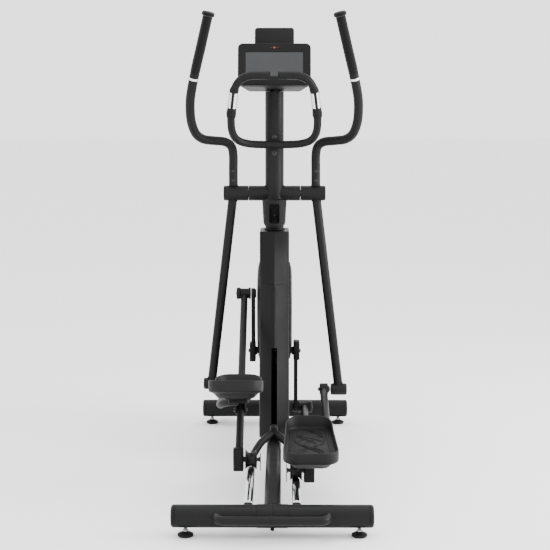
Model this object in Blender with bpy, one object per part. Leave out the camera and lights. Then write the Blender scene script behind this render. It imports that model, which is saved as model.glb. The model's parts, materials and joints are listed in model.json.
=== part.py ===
"""Elliptical trainer: a rail-guided cross trainer with moving arms and a central drive casing.

Metres, +Z up, +Y forward (towards the console), +X to the user's right. The origin is on the
floor under the middle of the machine. "left" and "right" are the user's, standing on the pedals.
"""
import math

import bpy
import bmesh
from mathutils import Matrix, Vector

# ------------------------------------------------------------------ driving dimensions
GAP = 0.0003

STABILIZER_Y = 0.70
STABILIZER_R = 0.035
STABILIZER_Z = 0.064
REAR_LENGTH = 0.62
FRONT_LENGTH = 0.60
CAP_LENGTH = 0.014
WALL = 0.002

SPINE_HALF_WIDTH = 0.026
SPINE_BOTTOM = 0.055
SPINE_TOP = 0.115

RAIL_X = 0.075
RAIL_R = 0.014
RAIL_Z = 0.0885
RAIL_FRONT_Y = -0.150
RAIL_REAR_Y = -0.6655

CRANK_Y = 0.378
CRANK_Z = 0.370
CRANK_R = 0.226
CRANK_LEAN = math.radians(3.0)
CRANK_INNER_X = 0.072
CRANK_OUTER_X = 0.090
AXLE_R = 0.010

ROD_X = 0.116
ROD_R = 0.012
ROD_LENGTH = 0.806
PEDAL_PIVOT_SHARE = 0.73
ROLLER_R = 0.0325
ROLLER_WAIST_R = 0.0215
ROLLER_Z = 0.125

SWING_Y = 0.350
SWING_Z = 0.982
SWING_LENGTH = 0.749
LINK_LENGTH = 0.512
HUB_R = 0.027
HUB_INNER_X = 0.0995
HUB_OUTER_X = 0.1934
SWING_TOP_X = 0.156
T_JOINT_X = (0.215, 0.277)
T_JOINT_R = 0.0225
LUG_X = (0.173, 0.205)

PEDAL_X = 0.121
PEDAL_TILT = math.radians(-10.1)
PEDAL_LENGTH = 0.376
PEDAL_HEEL_W = 0.178
PEDAL_TOE_W = 0.160
PEDAL_LIFT = 0.065
PEDAL_BAND = 0.040

MAST_R = 0.034
MAST_BASE_Z = 0.800
MAST_TOP_Z = 1.3630
CASING_HALF_WIDTH = 0.0525
CASING_WALL = 0.003
COVER_THICKNESS = 0.012

PULLEY_R = 0.150
FLYWHEEL_Y = 0.560
FLYWHEEL_Z = 0.300
FLYWHEEL_R = 0.100
FLYWHEEL_PULLEY_R = 0.025
BELT_X = (-0.013, -0.003)
BELT_THICKNESS = 0.003
IDLER_R = 0.025

CONSOLE_WIDTH = 0.267
CONSOLE_BOTTOM = (0.212, 1.3835)
CONSOLE_TOP = (0.255, 1.537)
CONSOLE_BACK_SHARE = 0.86
SCREEN_SIZE = (0.2105, 0.091)
CONSOLE_BACK_Y = 0.390
CONSOLE_BACK_Z = 1.4235
CONSOLE_BACK_HEIGHT = 0.120

PULSE_R = 0.014
PULSE_SLEEVE_R = 0.0175
HANDLE_R = 0.0165
GRIP_R = 0.0180
LEG_R = 0.016
LIFT_HALF = 0.167
BOTTLE_R = 0.0465

SIDES = (("left", -1.0), ("right", 1.0))

# ------------------------------------------------------------------ materials and mesh helpers
MATERIALS = {
    "frame_black": ((0.030, 0.030, 0.032), 0.45, 0.0),
    "plastic_black": ((0.026, 0.026, 0.028), 0.55, 0.0),
    "casing_grey": ((0.045, 0.045, 0.047), 0.50, 0.0),
    "rubber_black": ((0.018, 0.018, 0.018), 0.85, 0.0),
    "foam_black": ((0.022, 0.022, 0.022), 0.90, 0.0),
    "chrome": ((0.75, 0.76, 0.78), 0.10, 1.0),
    "steel": ((0.55, 0.56, 0.57), 0.30, 1.0),
    "screen_grey": ((0.10, 0.11, 0.115), 0.15, 0.0),
    "belt_rubber": ((0.020, 0.020, 0.020), 0.80, 0.0),
}


def clear_scene():
    for obj in list(bpy.data.objects):
        bpy.data.objects.remove(obj, do_unlink=True)


def make_material(node, finish):
    colour, roughness, metallic = MATERIALS[finish]
    material = bpy.data.materials.new(node + "_finish")
    material.use_nodes = True
    shader = material.node_tree.nodes["Principled BSDF"]
    shader.inputs["Base Color"].default_value = (*colour, 1.0)
    shader.inputs["Roughness"].default_value = roughness
    shader.inputs["Metallic"].default_value = metallic
    return material


def add_object(name, bm, finish, origin=(0.0, 0.0, 0.0)):
    """Turn a bmesh in world coordinates into an object whose origin is at the given point."""
    bmesh.ops.recalc_face_normals(bm, faces=bm.faces)
    bmesh.ops.translate(bm, verts=bm.verts, vec=-Vector(origin))
    mesh = bpy.data.meshes.new(name)
    bm.to_mesh(mesh)
    bm.free()
    mesh.shade_smooth()
    mesh.set_sharp_from_angle(angle=math.radians(35))
    obj = bpy.data.objects.new(name, mesh)
    obj.location = origin
    mesh.materials.append(make_material(name, finish))
    bpy.context.collection.objects.link(obj)
    return obj


def skin(bm, rings):
    """Join rings of equal length with quads and return the rings as vertices."""
    verts = [[bm.verts.new(p) for p in ring] for ring in rings]
    for a, b in zip(verts, verts[1:]):
        for i in range(len(a)):
            j = (i + 1) % len(a)
            bm.faces.new((a[i], a[j], b[j], b[i]))
    return verts


def solid_from(rings):
    """A closed body through the rings, with flat ends."""
    bm = bmesh.new()
    verts = skin(bm, rings)
    bm.faces.new(verts[0])
    bm.faces.new(verts[-1])
    return bm


def hollow_from(outer, inner, closed_end=False):
    """An open-ended tube between two sets of rings, or a cup when closed_end is set."""
    bm = bmesh.new()
    out = skin(bm, outer)
    inn = skin(bm, inner)
    count = len(out[0])
    ends = [0] if closed_end else [0, -1]
    for end in ends:
        for i in range(count):
            j = (i + 1) % count
            bm.faces.new((out[end][i], out[end][j], inn[end][j], inn[end][i]))
    if closed_end:
        bm.faces.new(out[-1])
        bm.faces.new(inn[-1])
    return bm


def circles(path, radius, sides):
    """Rings square to a path, carried along it without twist."""
    path = [Vector(p) for p in path]
    rings = []
    side = None
    for i, p in enumerate(path):
        ahead = path[min(i + 1, len(path) - 1)] - path[max(i - 1, 0)]
        ahead.normalize()
        if side is None:
            side = ahead.orthogonal().normalized()
        side = (side - ahead * side.dot(ahead)).normalized()
        up = ahead.cross(side)
        ring = []
        for k in range(sides):
            a = 2 * math.pi * k / sides
            ring.append(p + side * (radius * math.cos(a)) + up * (radius * math.sin(a)))
        rings.append(ring)
    return rings


def tube(name, path, radius, wall, sides, finish):
    bm = hollow_from(circles(path, radius, sides), circles(path, radius - wall, sides))
    return add_object(name, bm, finish)


def bar(name, path, radius, sides, finish):
    return add_object(name, solid_from(circles(path, radius, sides)), finish)


def turned(name, centre, axis, profile, sides, finish, bore=None):
    """Turn a profile of (radius, distance along the axis) points; with a bore it has a hole."""
    axis = Vector(axis).normalized()
    u = axis.orthogonal().normalized()
    v = axis.cross(u)
    centre = Vector(centre)

    def ring(radius, along):
        out = []
        for k in range(sides):
            a = 2 * math.pi * k / sides
            out.append(centre + axis * along + u * (radius * math.cos(a)) + v * (radius * math.sin(a)))
        return out

    outer = [ring(r, h) for r, h in profile]
    if bore is None:
        return add_object(name, solid_from(outer), finish, centre)
    inner = [ring(bore, profile[0][1]), ring(bore, profile[-1][1])]
    bm = bmesh.new()
    out = skin(bm, outer)
    inn = skin(bm, inner)
    for end in (0, -1):
        for i in range(sides):
            j = (i + 1) % sides
            bm.faces.new((out[end][i], out[end][j], inn[end][j], inn[end][i]))
    return add_object(name, bm, finish, centre)


def plate(name, outline, x0, x1, finish, hole=None, origin=(0, 0, 0)):
    """A flat piece with a (y, z) outline, from x0 to x1, with an optional hole outline."""
    outer = [[(x, y, z) for y, z in outline] for x in (x0, x1)]
    if hole is None:
        return add_object(name, solid_from(outer), finish, origin)
    inner = [[(x, y, z) for y, z in hole] for x in (x0, x1)]
    return add_object(name, hollow_from(outer, inner), finish, origin)


def block(name, low, high, finish):
    outline = [(low[1], low[2]), (high[1], low[2]), (high[1], high[2]), (low[1], high[2])]
    return plate(name, outline, low[0], high[0], finish)


def arc(centre, radius, start, end, steps):
    """Points (y, z) on an arc; angles in degrees from +Y towards +Z."""
    out = []
    for k in range(steps + 1):
        a = math.radians(start + (end - start) * k / steps)
        out.append((centre[0] + radius * math.cos(a), centre[1] + radius * math.sin(a)))
    return out


def round_rect(width, height, radius, steps=4):
    """Points (across, up) of a rectangle with round corners, about its centre."""
    out = []
    corners = ((1, 1, 0), (-1, 1, 90), (-1, -1, 180), (1, -1, 270))
    for sx, sy, start in corners:
        cx = sx * (width / 2 - radius)
        cy = sy * (height / 2 - radius)
        out += arc((cx, cy), radius, start, start + 90, steps)
    return out


def boolean(target, other, operation):
    modifier = target.modifiers.new(operation.lower() + "_" + other.name, "BOOLEAN")
    modifier.operation = operation
    modifier.solver = "EXACT"
    modifier.object = other
    other.hide_render = True
    other.display_type = "WIRE"


def fuse(target, *others):
    for other in others:
        boolean(target, other, "UNION")


def cut(target, *others):
    for other in others:
        boolean(target, other, "DIFFERENCE")


def bore_tool(name, centre, axis, radius, length, sides=16):
    return turned(name, centre, axis, [(radius, -length / 2), (radius, length / 2)], sides, "steel")


def pivot(name, location):
    """An empty on a joint's axis, which the pieces of one moving body hang from."""
    empty = bpy.data.objects.new(name, None)
    empty.location = location
    bpy.context.collection.objects.link(empty)
    return empty


def hang(empty, *objects):
    for obj in objects:
        obj.parent = empty
        obj.matrix_parent_inverse = Matrix.Translation(-empty.location)


# ------------------------------------------------------------------ linkage at rest
def circle_crossing(a, radius_a, b, radius_b):
    """The crossing of two circles in the YZ plane that lies to the right of the way a to b."""
    a = Vector(a)
    b = Vector(b)
    gap = (b - a).length
    along = (radius_a ** 2 - radius_b ** 2 + gap ** 2) / (2 * gap)
    off = math.sqrt(radius_a ** 2 - along ** 2)
    way = (b - a) / gap
    return a + way * along + Vector((way.y, -way.x)) * off


def linkage(side):
    """Pivot points (y, z) of one side, from the crank angle; the left crank is up."""
    lean = Vector((math.sin(CRANK_LEAN), -math.cos(CRANK_LEAN))) * CRANK_R * side
    pin = Vector((CRANK_Y, CRANK_Z)) + lean
    drop = pin.y - ROLLER_Z
    roller = Vector((pin.x - math.sqrt(ROD_LENGTH ** 2 - drop ** 2), ROLLER_Z))
    pedal_pin = pin.lerp(roller, PEDAL_PIVOT_SHARE)
    joint = circle_crossing(pedal_pin, LINK_LENGTH, (SWING_Y, SWING_Z), SWING_LENGTH)
    return {"pin": pin, "roller": roller, "pedal_pin": pedal_pin, "joint": joint}


# ------------------------------------------------------------------ frame
def build_stabilizers():
    for name, y, length in (("rear", -STABILIZER_Y, REAR_LENGTH), ("front", STABILIZER_Y, FRONT_LENGTH)):
        half = length / 2 - CAP_LENGTH
        path = [(-half, y, STABILIZER_Z), (half, y, STABILIZER_Z)]
        beam = tube(name + "_stabilizer", path, STABILIZER_R, WALL, 16, "frame_black")
        if name == "front":
            for side_name, side in SIDES:
                fork = block("fork_tool_" + side_name, (side * 0.200 - 0.004, y + 0.030, 0.030),
                             (side * 0.200 + 0.004, 0.775, 0.060), "frame_black")
                stub = bar("stub_tool_" + side_name, [(side * 0.200, 0.765, 0.042),
                           (side * 0.226, 0.765, 0.042)], 0.006, 12, "steel")
                fuse(beam, fork, stub)
        for side_name, side in SIDES:
            end = half + GAP
            profile = [(STABILIZER_R, 0.0), (STABILIZER_R, CAP_LENGTH * 0.6),
                       (STABILIZER_R * 0.86, CAP_LENGTH - GAP)]
            turned("%s_%s_end_cap" % (name, side_name), (side * end, y, STABILIZER_Z),
                   (side, 0, 0), profile, 16, "plastic_black")
            foot_x = side * (0.266 if name == "rear" else 0.262)
            profile = [(0.022, 0.0), (0.025, 0.004), (0.025, 0.009), (0.010, 0.013),
                       (0.006, 0.016), (0.006, STABILIZER_Z - STABILIZER_R - GAP)]
            turned("%s_%s_foot" % (name, side_name), (foot_x, y, 0.0), (0, 0, 1), profile, 14,
                   "rubber_black")


def build_spine():
    outline = round_rect(2 * SPINE_HALF_WIDTH, SPINE_TOP - SPINE_BOTTOM, 0.012, 2)
    inside = round_rect(2 * SPINE_HALF_WIDTH - 2 * WALL, SPINE_TOP - SPINE_BOTTOM - 2 * WALL, 0.010, 2)
    middle = (SPINE_TOP + SPINE_BOTTOM) / 2
    ends = (-STABILIZER_Y + STABILIZER_R + GAP, STABILIZER_Y - STABILIZER_R - GAP)
    outer = [[(u, y, middle + v) for u, v in outline] for y in ends]
    inner = [[(u, y, middle + v) for u, v in inside] for y in ends]
    spine = add_object("frame_spine", hollow_from(outer, inner), "frame_black")
    post = block("strut_post", (-0.016, 0.000, SPINE_TOP - 0.001), (0.016, 0.034, 0.158), "frame_black")
    fuse(spine, post)
    for side_name, side in SIDES:
        route = [(side * 0.004, 0.016, 0.143), (side * 0.040, -0.052, 0.124),
                 (side * 0.068, -0.108, 0.098), (side * RAIL_X, -0.132, RAIL_Z),
                 (side * RAIL_X, RAIL_FRONT_Y + GAP, RAIL_Z)]
        fuse(spine, bar("strut_tool_" + side_name, route, 0.0125, 10, "frame_black"))


def build_rails():
    for side_name, side in SIDES:
        x = side * RAIL_X
        tube(side_name + "_rail", [(x, RAIL_REAR_Y, RAIL_Z), (x, RAIL_FRONT_Y, RAIL_Z)], RAIL_R, WALL,
             14, "chrome")


def build_lift_handle():
    near = -STABILIZER_Y - STABILIZER_R - GAP
    far = near - 0.0395
    z = STABILIZER_Z - 0.001
    half = [(LIFT_HALF, near, z), (LIFT_HALF, near - 0.012, z), (LIFT_HALF - 0.004, near - 0.027, z),
            (LIFT_HALF - 0.014, far + 0.002, z), (LIFT_HALF - 0.030, far, z)]
    route = [(-x, y, z) for x, y, z in half] + list(reversed(half))
    tube("rear_lift_handle", route, 0.014, WALL, 12, "frame_black")


def build_core_frame():
    """Two plates inside the casing that carry the mast, the crank bearings and the flywheel."""
    outline = [(0.330, 0.124), (0.640, 0.124), (0.628, 0.330), (0.382, 0.700), (0.382, 0.7997),
               (0.318, 0.7997), (0.318, 0.450), (0.300, 0.370)]
    core = plate("core_frame", outline, 0.030, 0.035, "frame_black")
    other = plate("core_other_plate", outline, -0.035, -0.030, "frame_black")
    top = block("core_top", (-0.034, 0.319, 0.740), (0.034, 0.381, 0.7990), "frame_black")
    base = block("core_base", (-0.034, 0.400, SPINE_TOP + GAP), (0.034, 0.620, 0.132), "frame_black")
    fuse(core, other, top, base)
    stub_y, stub_z = idler_centre()
    stub = bar("idler_stub", [(-0.0302, stub_y, stub_z), (BELT_X[1] - 0.001, stub_y, stub_z)], 0.006, 12,
               "steel")
    cut(core, bore_tool("bearing_seat", (0, CRANK_Y, CRANK_Z), (1, 0, 0), 0.0220 + GAP, 0.2, 16))
    cut(core, bore_tool("flywheel_seat", (0, FLYWHEEL_Y, FLYWHEEL_Z), (1, 0, 0), 0.0060 + GAP, 0.2, 12))
    fuse(core, stub)
    for side_name, side in SIDES:
        turned(side_name + "_crank_bearing", (side * 0.0275, CRANK_Y, CRANK_Z), (side, 0, 0),
               [(0.0220, 0.0), (0.0220, 0.0135)], 16, "steel", bore=AXLE_R + GAP)
    bar("flywheel_axle", [(-0.0365, FLYWHEEL_Y, FLYWHEEL_Z), (0.0365, FLYWHEEL_Y, FLYWHEEL_Z)], 0.006, 12,
        "steel")


def build_mast():
    mast = bar("mast", [(0, SWING_Y, MAST_BASE_Z), (0, SWING_Y, MAST_TOP_Z)], MAST_R, 24, "frame_black")
    cross = bar("cross_tube", [(-0.0945, SWING_Y, SWING_Z), (0.0945, SWING_Y, SWING_Z)], HUB_R, 20,
                "frame_black")
    fuse(mast, cross)
    cut(mast, bore_tool("mast_bore", (0, SWING_Y, 1.08), (0, 0, 1), MAST_R - 0.003, 0.7, 24))
    cut(mast, bore_tool("cross_bore", (0, SWING_Y, SWING_Z), (1, 0, 0), 0.012 + GAP, 0.4, 14))
    bar("pivot_axle", [(-0.189, SWING_Y, SWING_Z), (0.189, SWING_Y, SWING_Z)], 0.012, 14, "steel")


# ------------------------------------------------------------------ drive
def idler_centre():
    """The idler presses on the outside of the belt's upper run."""
    normal, start, end = belt_upper_run()
    middle = start.lerp(end, 0.5)
    centre = middle + normal * (BELT_THICKNESS + GAP * 4 + IDLER_R)
    return centre.x, centre.y


def belt_upper_run():
    """Outward normal and ends of the belt's inner line between the two pulleys."""
    crank = Vector((CRANK_Y, CRANK_Z))
    fly = Vector((FLYWHEEL_Y, FLYWHEEL_Z))
    gap = (fly - crank).length
    base = math.atan2(fly.y - crank.y, fly.x - crank.x)
    lean = math.acos((PULLEY_R - FLYWHEEL_PULLEY_R) / gap)
    angle = base + lean
    normal = Vector((math.cos(angle), math.sin(angle)))
    start = crank + normal * (PULLEY_R + GAP)
    end = fly + normal * (FLYWHEEL_PULLEY_R + GAP)
    return normal, start, end


def belt_outline(offset):
    crank = Vector((CRANK_Y, CRANK_Z))
    fly = Vector((FLYWHEEL_Y, FLYWHEEL_Z))
    base = math.degrees(math.atan2(fly.y - crank.y, fly.x - crank.x))
    lean = math.degrees(math.acos((PULLEY_R - FLYWHEEL_PULLEY_R) / (fly - crank).length))
    large = arc(crank, (PULLEY_R + GAP + offset) / math.cos(math.radians(6)), base + lean,
                base + 360 - lean, 24)
    small = arc(fly, (FLYWHEEL_PULLEY_R + GAP + offset) / math.cos(math.radians(12)), base - lean,
                base + lean, 6)
    return large + small


def build_drive():
    crank_pivot = pivot("crank_pivot", (0, CRANK_Y, CRANK_Z))
    axle = turned("crank_axle", (0, CRANK_Y, CRANK_Z), (1, 0, 0), [(AXLE_R, -0.0975), (AXLE_R, 0.0975)],
                  16, "steel")
    pulley = turned("drive_pulley", (-0.008, CRANK_Y, CRANK_Z), (1, 0, 0),
                    [(PULLEY_R, -0.006), (PULLEY_R, 0.006)], 32, "plastic_black", bore=AXLE_R + GAP)
    hang(crank_pivot, axle, pulley)
    for side_name, side in SIDES:
        hang(crank_pivot, build_crank(side_name, side))
    fly_profile = [(FLYWHEEL_PULLEY_R, -0.014), (FLYWHEEL_PULLEY_R, 0.0015), (FLYWHEEL_R, 0.0020),
                   (FLYWHEEL_R, 0.020)]
    turned("flywheel", (0, FLYWHEEL_Y, FLYWHEEL_Z), (1, 0, 0), fly_profile, 32, "steel", bore=0.006 + GAP)
    plate("drive_belt", belt_outline(BELT_THICKNESS), BELT_X[0], BELT_X[1], "belt_rubber",
          hole=belt_outline(0.0))
    idler_y, idler_z = idler_centre()
    turned("idler_pulley", (-0.0085, idler_y, idler_z), (1, 0, 0), [(IDLER_R, -0.005), (IDLER_R, 0.004)],
           16, "plastic_black", bore=0.006 + GAP)
    build_brake_magnet()


def build_brake_magnet():
    """An arc-shaped shoe beside the flywheel's rim, hung from the end of its arm."""
    centre = (FLYWHEEL_Y, FLYWHEEL_Z)
    outline = arc(centre, FLYWHEEL_R + 0.012, 20, 75, 8) + arc(centre, FLYWHEEL_R + 0.002, 75, 20, 8)
    hinge = arc(centre, FLYWHEEL_R + 0.007, 75, 75, 1)[0]
    plate("brake_magnet", outline, 0.001, 0.021, "steel", origin=(0.011, hinge[0], hinge[1]))


def build_crank(side_name, side):
    pin = linkage(side)["pin"]
    centre = Vector((CRANK_Y, CRANK_Z))
    way = (pin - centre).normalized()
    normal = Vector((-way.y, way.x))
    heading = math.degrees(math.atan2(way.y, way.x))
    outline = arc(centre, 0.019, heading + 90, heading + 270, 8)
    outline += arc(pin, 0.021, heading - 90, heading + 90, 8)
    inner = side * (CRANK_INNER_X + 0.002)
    arm = plate(side_name + "_crank", outline, inner, side * CRANK_OUTER_X, "frame_black",
                origin=(0, CRANK_Y, CRANK_Z))
    reach = ((-0.040, -0.023), (0.034, -0.023), (0.034, 0.023), (-0.040, 0.023))
    hub_outline = [tuple(centre + way * a + normal * b) for a, b in reach]
    hub = plate(side_name + "_hub_tool", hub_outline, side * CRANK_INNER_X, side * 0.097, "frame_black")
    boss = turned(side_name + "_boss_tool", (side * 0.0655, CRANK_Y, CRANK_Z), (side, 0, 0),
                  [(0.014, 0.0), (0.019, 0.012)], 20, "frame_black")
    fuse(arm, hub, boss)
    cut(arm, bore_tool(side_name + "_axle_bore", (side * 0.08, CRANK_Y, CRANK_Z), (1, 0, 0),
                       AXLE_R + GAP, 0.08))
    return arm


# ------------------------------------------------------------------ moving arms
def at(x, point):
    return Vector((x, point[0], point[1]))


def build_swing(side_name, side):
    joint = linkage(side)["joint"]
    holder = pivot(side_name + "_swing_pivot", (0, SWING_Y, SWING_Z))
    arm = bar(side_name + "_swing_arm", [(side * HUB_INNER_X, SWING_Y, SWING_Z),
              (side * HUB_OUTER_X, SWING_Y, SWING_Z)], HUB_R, 18, "frame_black")
    mid_x = side * sum(T_JOINT_X) / 2
    top = Vector((side * SWING_TOP_X, SWING_Y, SWING_Z))
    low = at(mid_x, joint)
    way = (low - top).normalized()
    leg = bar(side_name + "_leg_tool", [top + way * 0.016, low - way * 0.010], LEG_R, 12, "frame_black")
    tee = bar(side_name + "_tee_tool", [at(side * T_JOINT_X[0], joint), at(side * T_JOINT_X[1], joint)],
              T_JOINT_R, 16, "frame_black")
    fuse(arm, leg, tee)
    cut(arm, bore_tool(side_name + "_hub_bore", (side * 0.146, SWING_Y, SWING_Z), (1, 0, 0), 0.0125, 0.12))
    cut(arm, bore_tool(side_name + "_tee_bore", at(mid_x, joint), (1, 0, 0), 0.0085, 0.1, 16))
    route = [(0.156, SWING_Y, 1.0095), (0.156, SWING_Y, 1.070), (0.156, 0.348, 1.128), (0.164, 0.343, 1.160),
             (0.187, 0.331, 1.176), (0.228, 0.307, 1.181), (0.264, 0.282, 1.187), (0.290, 0.256, 1.208),
             (0.305, 0.228, 1.250), (0.308, 0.205, 1.300), (0.302, 0.182, 1.350), (0.284, 0.154, 1.430),
             (0.262, 0.136, 1.516), (0.236, 0.116, 1.620)]
    route = [(side * x, y, z) for x, y, z in route]
    handle = tube(side_name + "_handlebar", route, HANDLE_R, WALL, 12, "frame_black")
    tip = Vector(route[-1])
    axis = (tip - Vector(route[-2])).normalized()
    flange = ((0.006, GRIP_R), (0.008, 0.0235), (0.016, 0.0235), (0.021, 0.0170))
    path = route + [tip + axis * along for along, radius in flange]
    radii = [GRIP_R] * len(route) + [radius for along, radius in flange]
    outer = varying_rings(path, radii, 12)[len(route) - 3:]
    path = route + [tip + axis * GAP * 2]
    inner = varying_rings(path, [HANDLE_R + GAP * 1.6] * len(path), 12)
    inner = inner[len(route) - 3:-2] + inner[-1:]
    grip = add_object(side_name + "_grip", hollow_from(outer, inner, closed_end=True), "foam_black")
    hang(holder, arm, handle, grip)


def varying_rings(path, radii, sides):
    rings = circles(path, 1.0, sides)
    out = []
    for centre, radius, ring in zip(path, radii, rings):
        out.append([Vector(centre) + (p - Vector(centre)) * radius for p in ring])
    return out


def pedal_frame(side):
    """Origin under the toe end, forward and up directions (y, z) of one pedal."""
    points = linkage(side)
    link = points["joint"] - points["pedal_pin"]
    pitch = math.atan2(link.y, link.x) + PEDAL_TILT
    forward = Vector((math.cos(pitch), math.sin(pitch)))
    up = Vector((-forward.y, forward.x))
    return points["pedal_pin"] + up * PEDAL_LIFT, forward, up


def pedal_outline(inset, steps=4):
    """Plan outline (across, along) of a pedal; along runs from the heel to the toe at 0."""
    heel = PEDAL_HEEL_W / 2 - inset
    toe = PEDAL_TOE_W / 2 - inset
    rear = -PEDAL_LENGTH + inset
    front = -inset
    corner = 0.040 - inset * 0.7
    out = []
    for across, along, radius, start in ((toe, front, corner, 0), (-toe, front, corner, 90),
                                         (-heel, rear, corner, 180), (heel, rear, corner, 270)):
        cx = across - math.copysign(radius, across)
        cy = along - math.copysign(radius, along + PEDAL_LENGTH / 2)
        out += arc((cx, cy), radius, start, start + 90, steps)
    return out


def build_pedal(side_name, side):
    points = linkage(side)
    base, forward, up = pedal_frame(side)
    centre_x = side * PEDAL_X

    def place(across, along, height):
        p = base + forward * along + up * height
        return Vector((centre_x + across, p.x, p.y))

    def ring(inset, height, toe_rise=0.0):
        out = []
        for across, along in pedal_outline(inset):
            share = max(0.0, 1.0 + along / (PEDAL_LENGTH * 0.35))
            out.append(place(across, along, height + toe_rise * share ** 2))
        return out

    outer = [ring(0.034, -0.018), ring(0.014, 0.0), ring(0.001, 0.006), ring(0.0, PEDAL_BAND, 0.022)]
    inner = [ring(0.0045, PEDAL_BAND - 0.0004, 0.022), ring(0.008, 0.016)]
    bm = bmesh.new()
    verts = skin(bm, outer + inner)
    bm.faces.new(verts[0])
    bm.faces.new(verts[-1])
    pedal = add_object(side_name + "_pedal", bm, "plastic_black")
    pad = add_object(side_name + "_pedal_pad", solid_from([ring(0.013, 0.016 + GAP), ring(0.013, 0.019),
                     ring(0.0145, 0.020)]), "rubber_black")

    holder = pivot(side_name + "_pedal_arm_pivot", at(0, points["joint"]))
    pin = points["pedal_pin"]
    joint = points["joint"]
    arm = bar(side_name + "_pedal_arm", [at(side * LUG_X[0], joint), at(side * LUG_X[1], joint)], T_JOINT_R,
              16, "frame_black")
    stub = bar(side_name + "_link_pin_tool", [at(side * (LUG_X[1] - 0.004), joint),
               at(side * (T_JOINT_X[1] - 0.001), joint)], 0.008, 16, "steel")
    arm_x = side * 0.188
    reach = at(arm_x, joint)
    knee = place(side * 0.067, 0.030, -0.046)
    route = [reach, reach.lerp(knee, 0.9), knee, place(side * 0.055, -0.020, -0.040),
             place(side * 0.030, -0.050, -0.036), place(side * 0.005, -0.060, -0.034)]
    leg = bar(side_name + "_link_tool", route, 0.0145, 12, "frame_black")
    carrier_ring = [(-0.034, -0.110), (0.034, -0.110), (0.034, -0.002), (-0.034, -0.002)]
    carrier = add_object(side_name + "_carrier_tool", solid_from(
        [[place(a, b, h) for a, b in carrier_ring] for h in (-0.040, -0.0185)]), "frame_black")
    fuse(arm, stub, leg, carrier)
    for index, offset in enumerate((-1, 1)):
        x0 = centre_x - side * 0.005 + offset * (ROD_R + 0.0015)
        x1 = x0 + offset * 0.005
        cheek = arc(pin, 0.014, 200, 340, 8)
        top = base + up * -0.030
        cheek += [tuple(top + forward * 0.016), tuple(top - forward * 0.016)]
        fuse(arm, plate("%s_cheek_tool_%d" % (side_name, index), cheek, x0, x1, "frame_black"))
    across = ROD_R + 0.0060
    ends = [at(side * ROD_X - across, pin), at(side * ROD_X + across, pin)]
    bolt = bar(side_name + "_pedal_pin_tool", ends, 0.005, 12, "steel")
    fuse(arm, bolt)
    hang(holder, arm, pedal, pad)


def build_rod(side_name, side):
    points = linkage(side)
    holder = pivot(side_name + "_rod_pivot", at(0, points["pedal_pin"]))
    pin = points["pin"]
    roller = points["roller"]
    way = (roller - pin).normalized()
    ends = [at(side * ROD_X, pin + way * 0.008), at(side * ROD_X, roller - way * 0.01)]
    rod = bar(side_name + "_rod", ends, ROD_R, 12, "frame_black")
    housing = bar(side_name + "_housing_tool", [at(side * 0.0912, pin), at(side * 0.1465, pin)], 0.023, 16,
                  "frame_black")
    corners = ((-0.0175, -0.0395), (0.0175, -0.0395), (0.0175, 0.0395), (-0.0175, 0.0395))
    end_outline = [(roller.x + a, roller.y + b) for a, b in corners]
    end = plate(side_name + "_end_block_tool", end_outline, side * 0.1005, side * 0.1355, "frame_black")
    stud = bar(side_name + "_stud_tool", [at(side * 0.0906, pin), at(side * 0.1000, pin)], 0.012, 20, "steel")
    fuse(rod, housing, end, stud)
    cut(rod, bore_tool(side_name + "_pivot_bore", at(side * ROD_X, points["pedal_pin"]), (1, 0, 0), 0.0055,
                       0.05, 14))
    cut(rod, bore_tool(side_name + "_axle_seat", at(side * 0.118, roller), (1, 0, 0), 0.006 + GAP, 0.06, 14))
    axle = bar(side_name + "_roller_axle", [at(side * 0.0440, roller), at(side * 0.1350, roller)], 0.006, 14,
               "steel")
    guard_outline = [(roller.x + a, roller.y + b) for a, b in
                     ((-0.012, -0.038), (0.012, -0.038), (0.012, 0.020), (-0.012, 0.020))]
    fuse(axle, plate(side_name + "_guard_tool", guard_outline, side * 0.0425, side * 0.0455, "steel"))
    profile = [(ROLLER_R, -0.0195), (ROLLER_R, -0.0165)]
    for k in range(7):
        a = math.radians(-60 + 20 * k)
        profile.append((ROLLER_WAIST_R + RAIL_R * (1 - math.cos(a)) * 1.15, 0.0152 * math.sin(a) / 0.866))
    profile += [(ROLLER_R, 0.0165), (ROLLER_R, 0.0195)]
    wheel = turned(side_name + "_roller", at(side * RAIL_X, roller), (1, 0, 0), profile, 18, "rubber_black",
                   bore=0.006 + GAP)
    hang(holder, rod, axle, wheel)


def build_transport_wheels():
    for side_name, side in SIDES:
        profile = [(0.021, -0.008), (0.024, -0.005), (0.024, 0.005), (0.021, 0.008)]
        turned(side_name + "_transport_wheel", (side * 0.2155, 0.765, 0.042), (1, 0, 0), profile, 14,
               "rubber_black", bore=0.006 + GAP)


# ------------------------------------------------------------------ covers
def casing_outline(depth, inset):
    """Side outline (y, z) of the casing; depth is 0 on the seam and 1 on the flat side."""
    rear = 0.050 * depth
    points = [(0.066 + rear, 0.1225), (0.640, 0.1225), (0.690, 0.160), (0.708, 0.230), (0.702, 0.330),
              (0.676, 0.430), (0.630, 0.530), (0.570, 0.640), (0.510, 0.740), (0.462, 0.818), (0.435, 0.843),
              (0.268 + rear * 0.3, 0.843), (0.248 + rear * 0.6, 0.760), (0.210 + rear, 0.640),
              (0.150 + rear, 0.400), (0.062 + rear, 0.160)]
    return offset_outline(points, inset)


def offset_outline(points, inset):
    """Move each corner of a counter-clockwise outline inwards by the inset."""
    out = []
    count = len(points)
    for i in range(count):
        p = Vector(points[i])
        before = (p - Vector(points[i - 1])).normalized()
        after = (Vector(points[(i + 1) % count]) - p).normalized()
        normal_a = Vector((-before.y, before.x))
        normal_b = Vector((-after.y, after.x))
        bisector = normal_a + normal_b
        out.append(tuple(p + bisector * (2 * inset / bisector.length_squared)))
    return out


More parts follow.
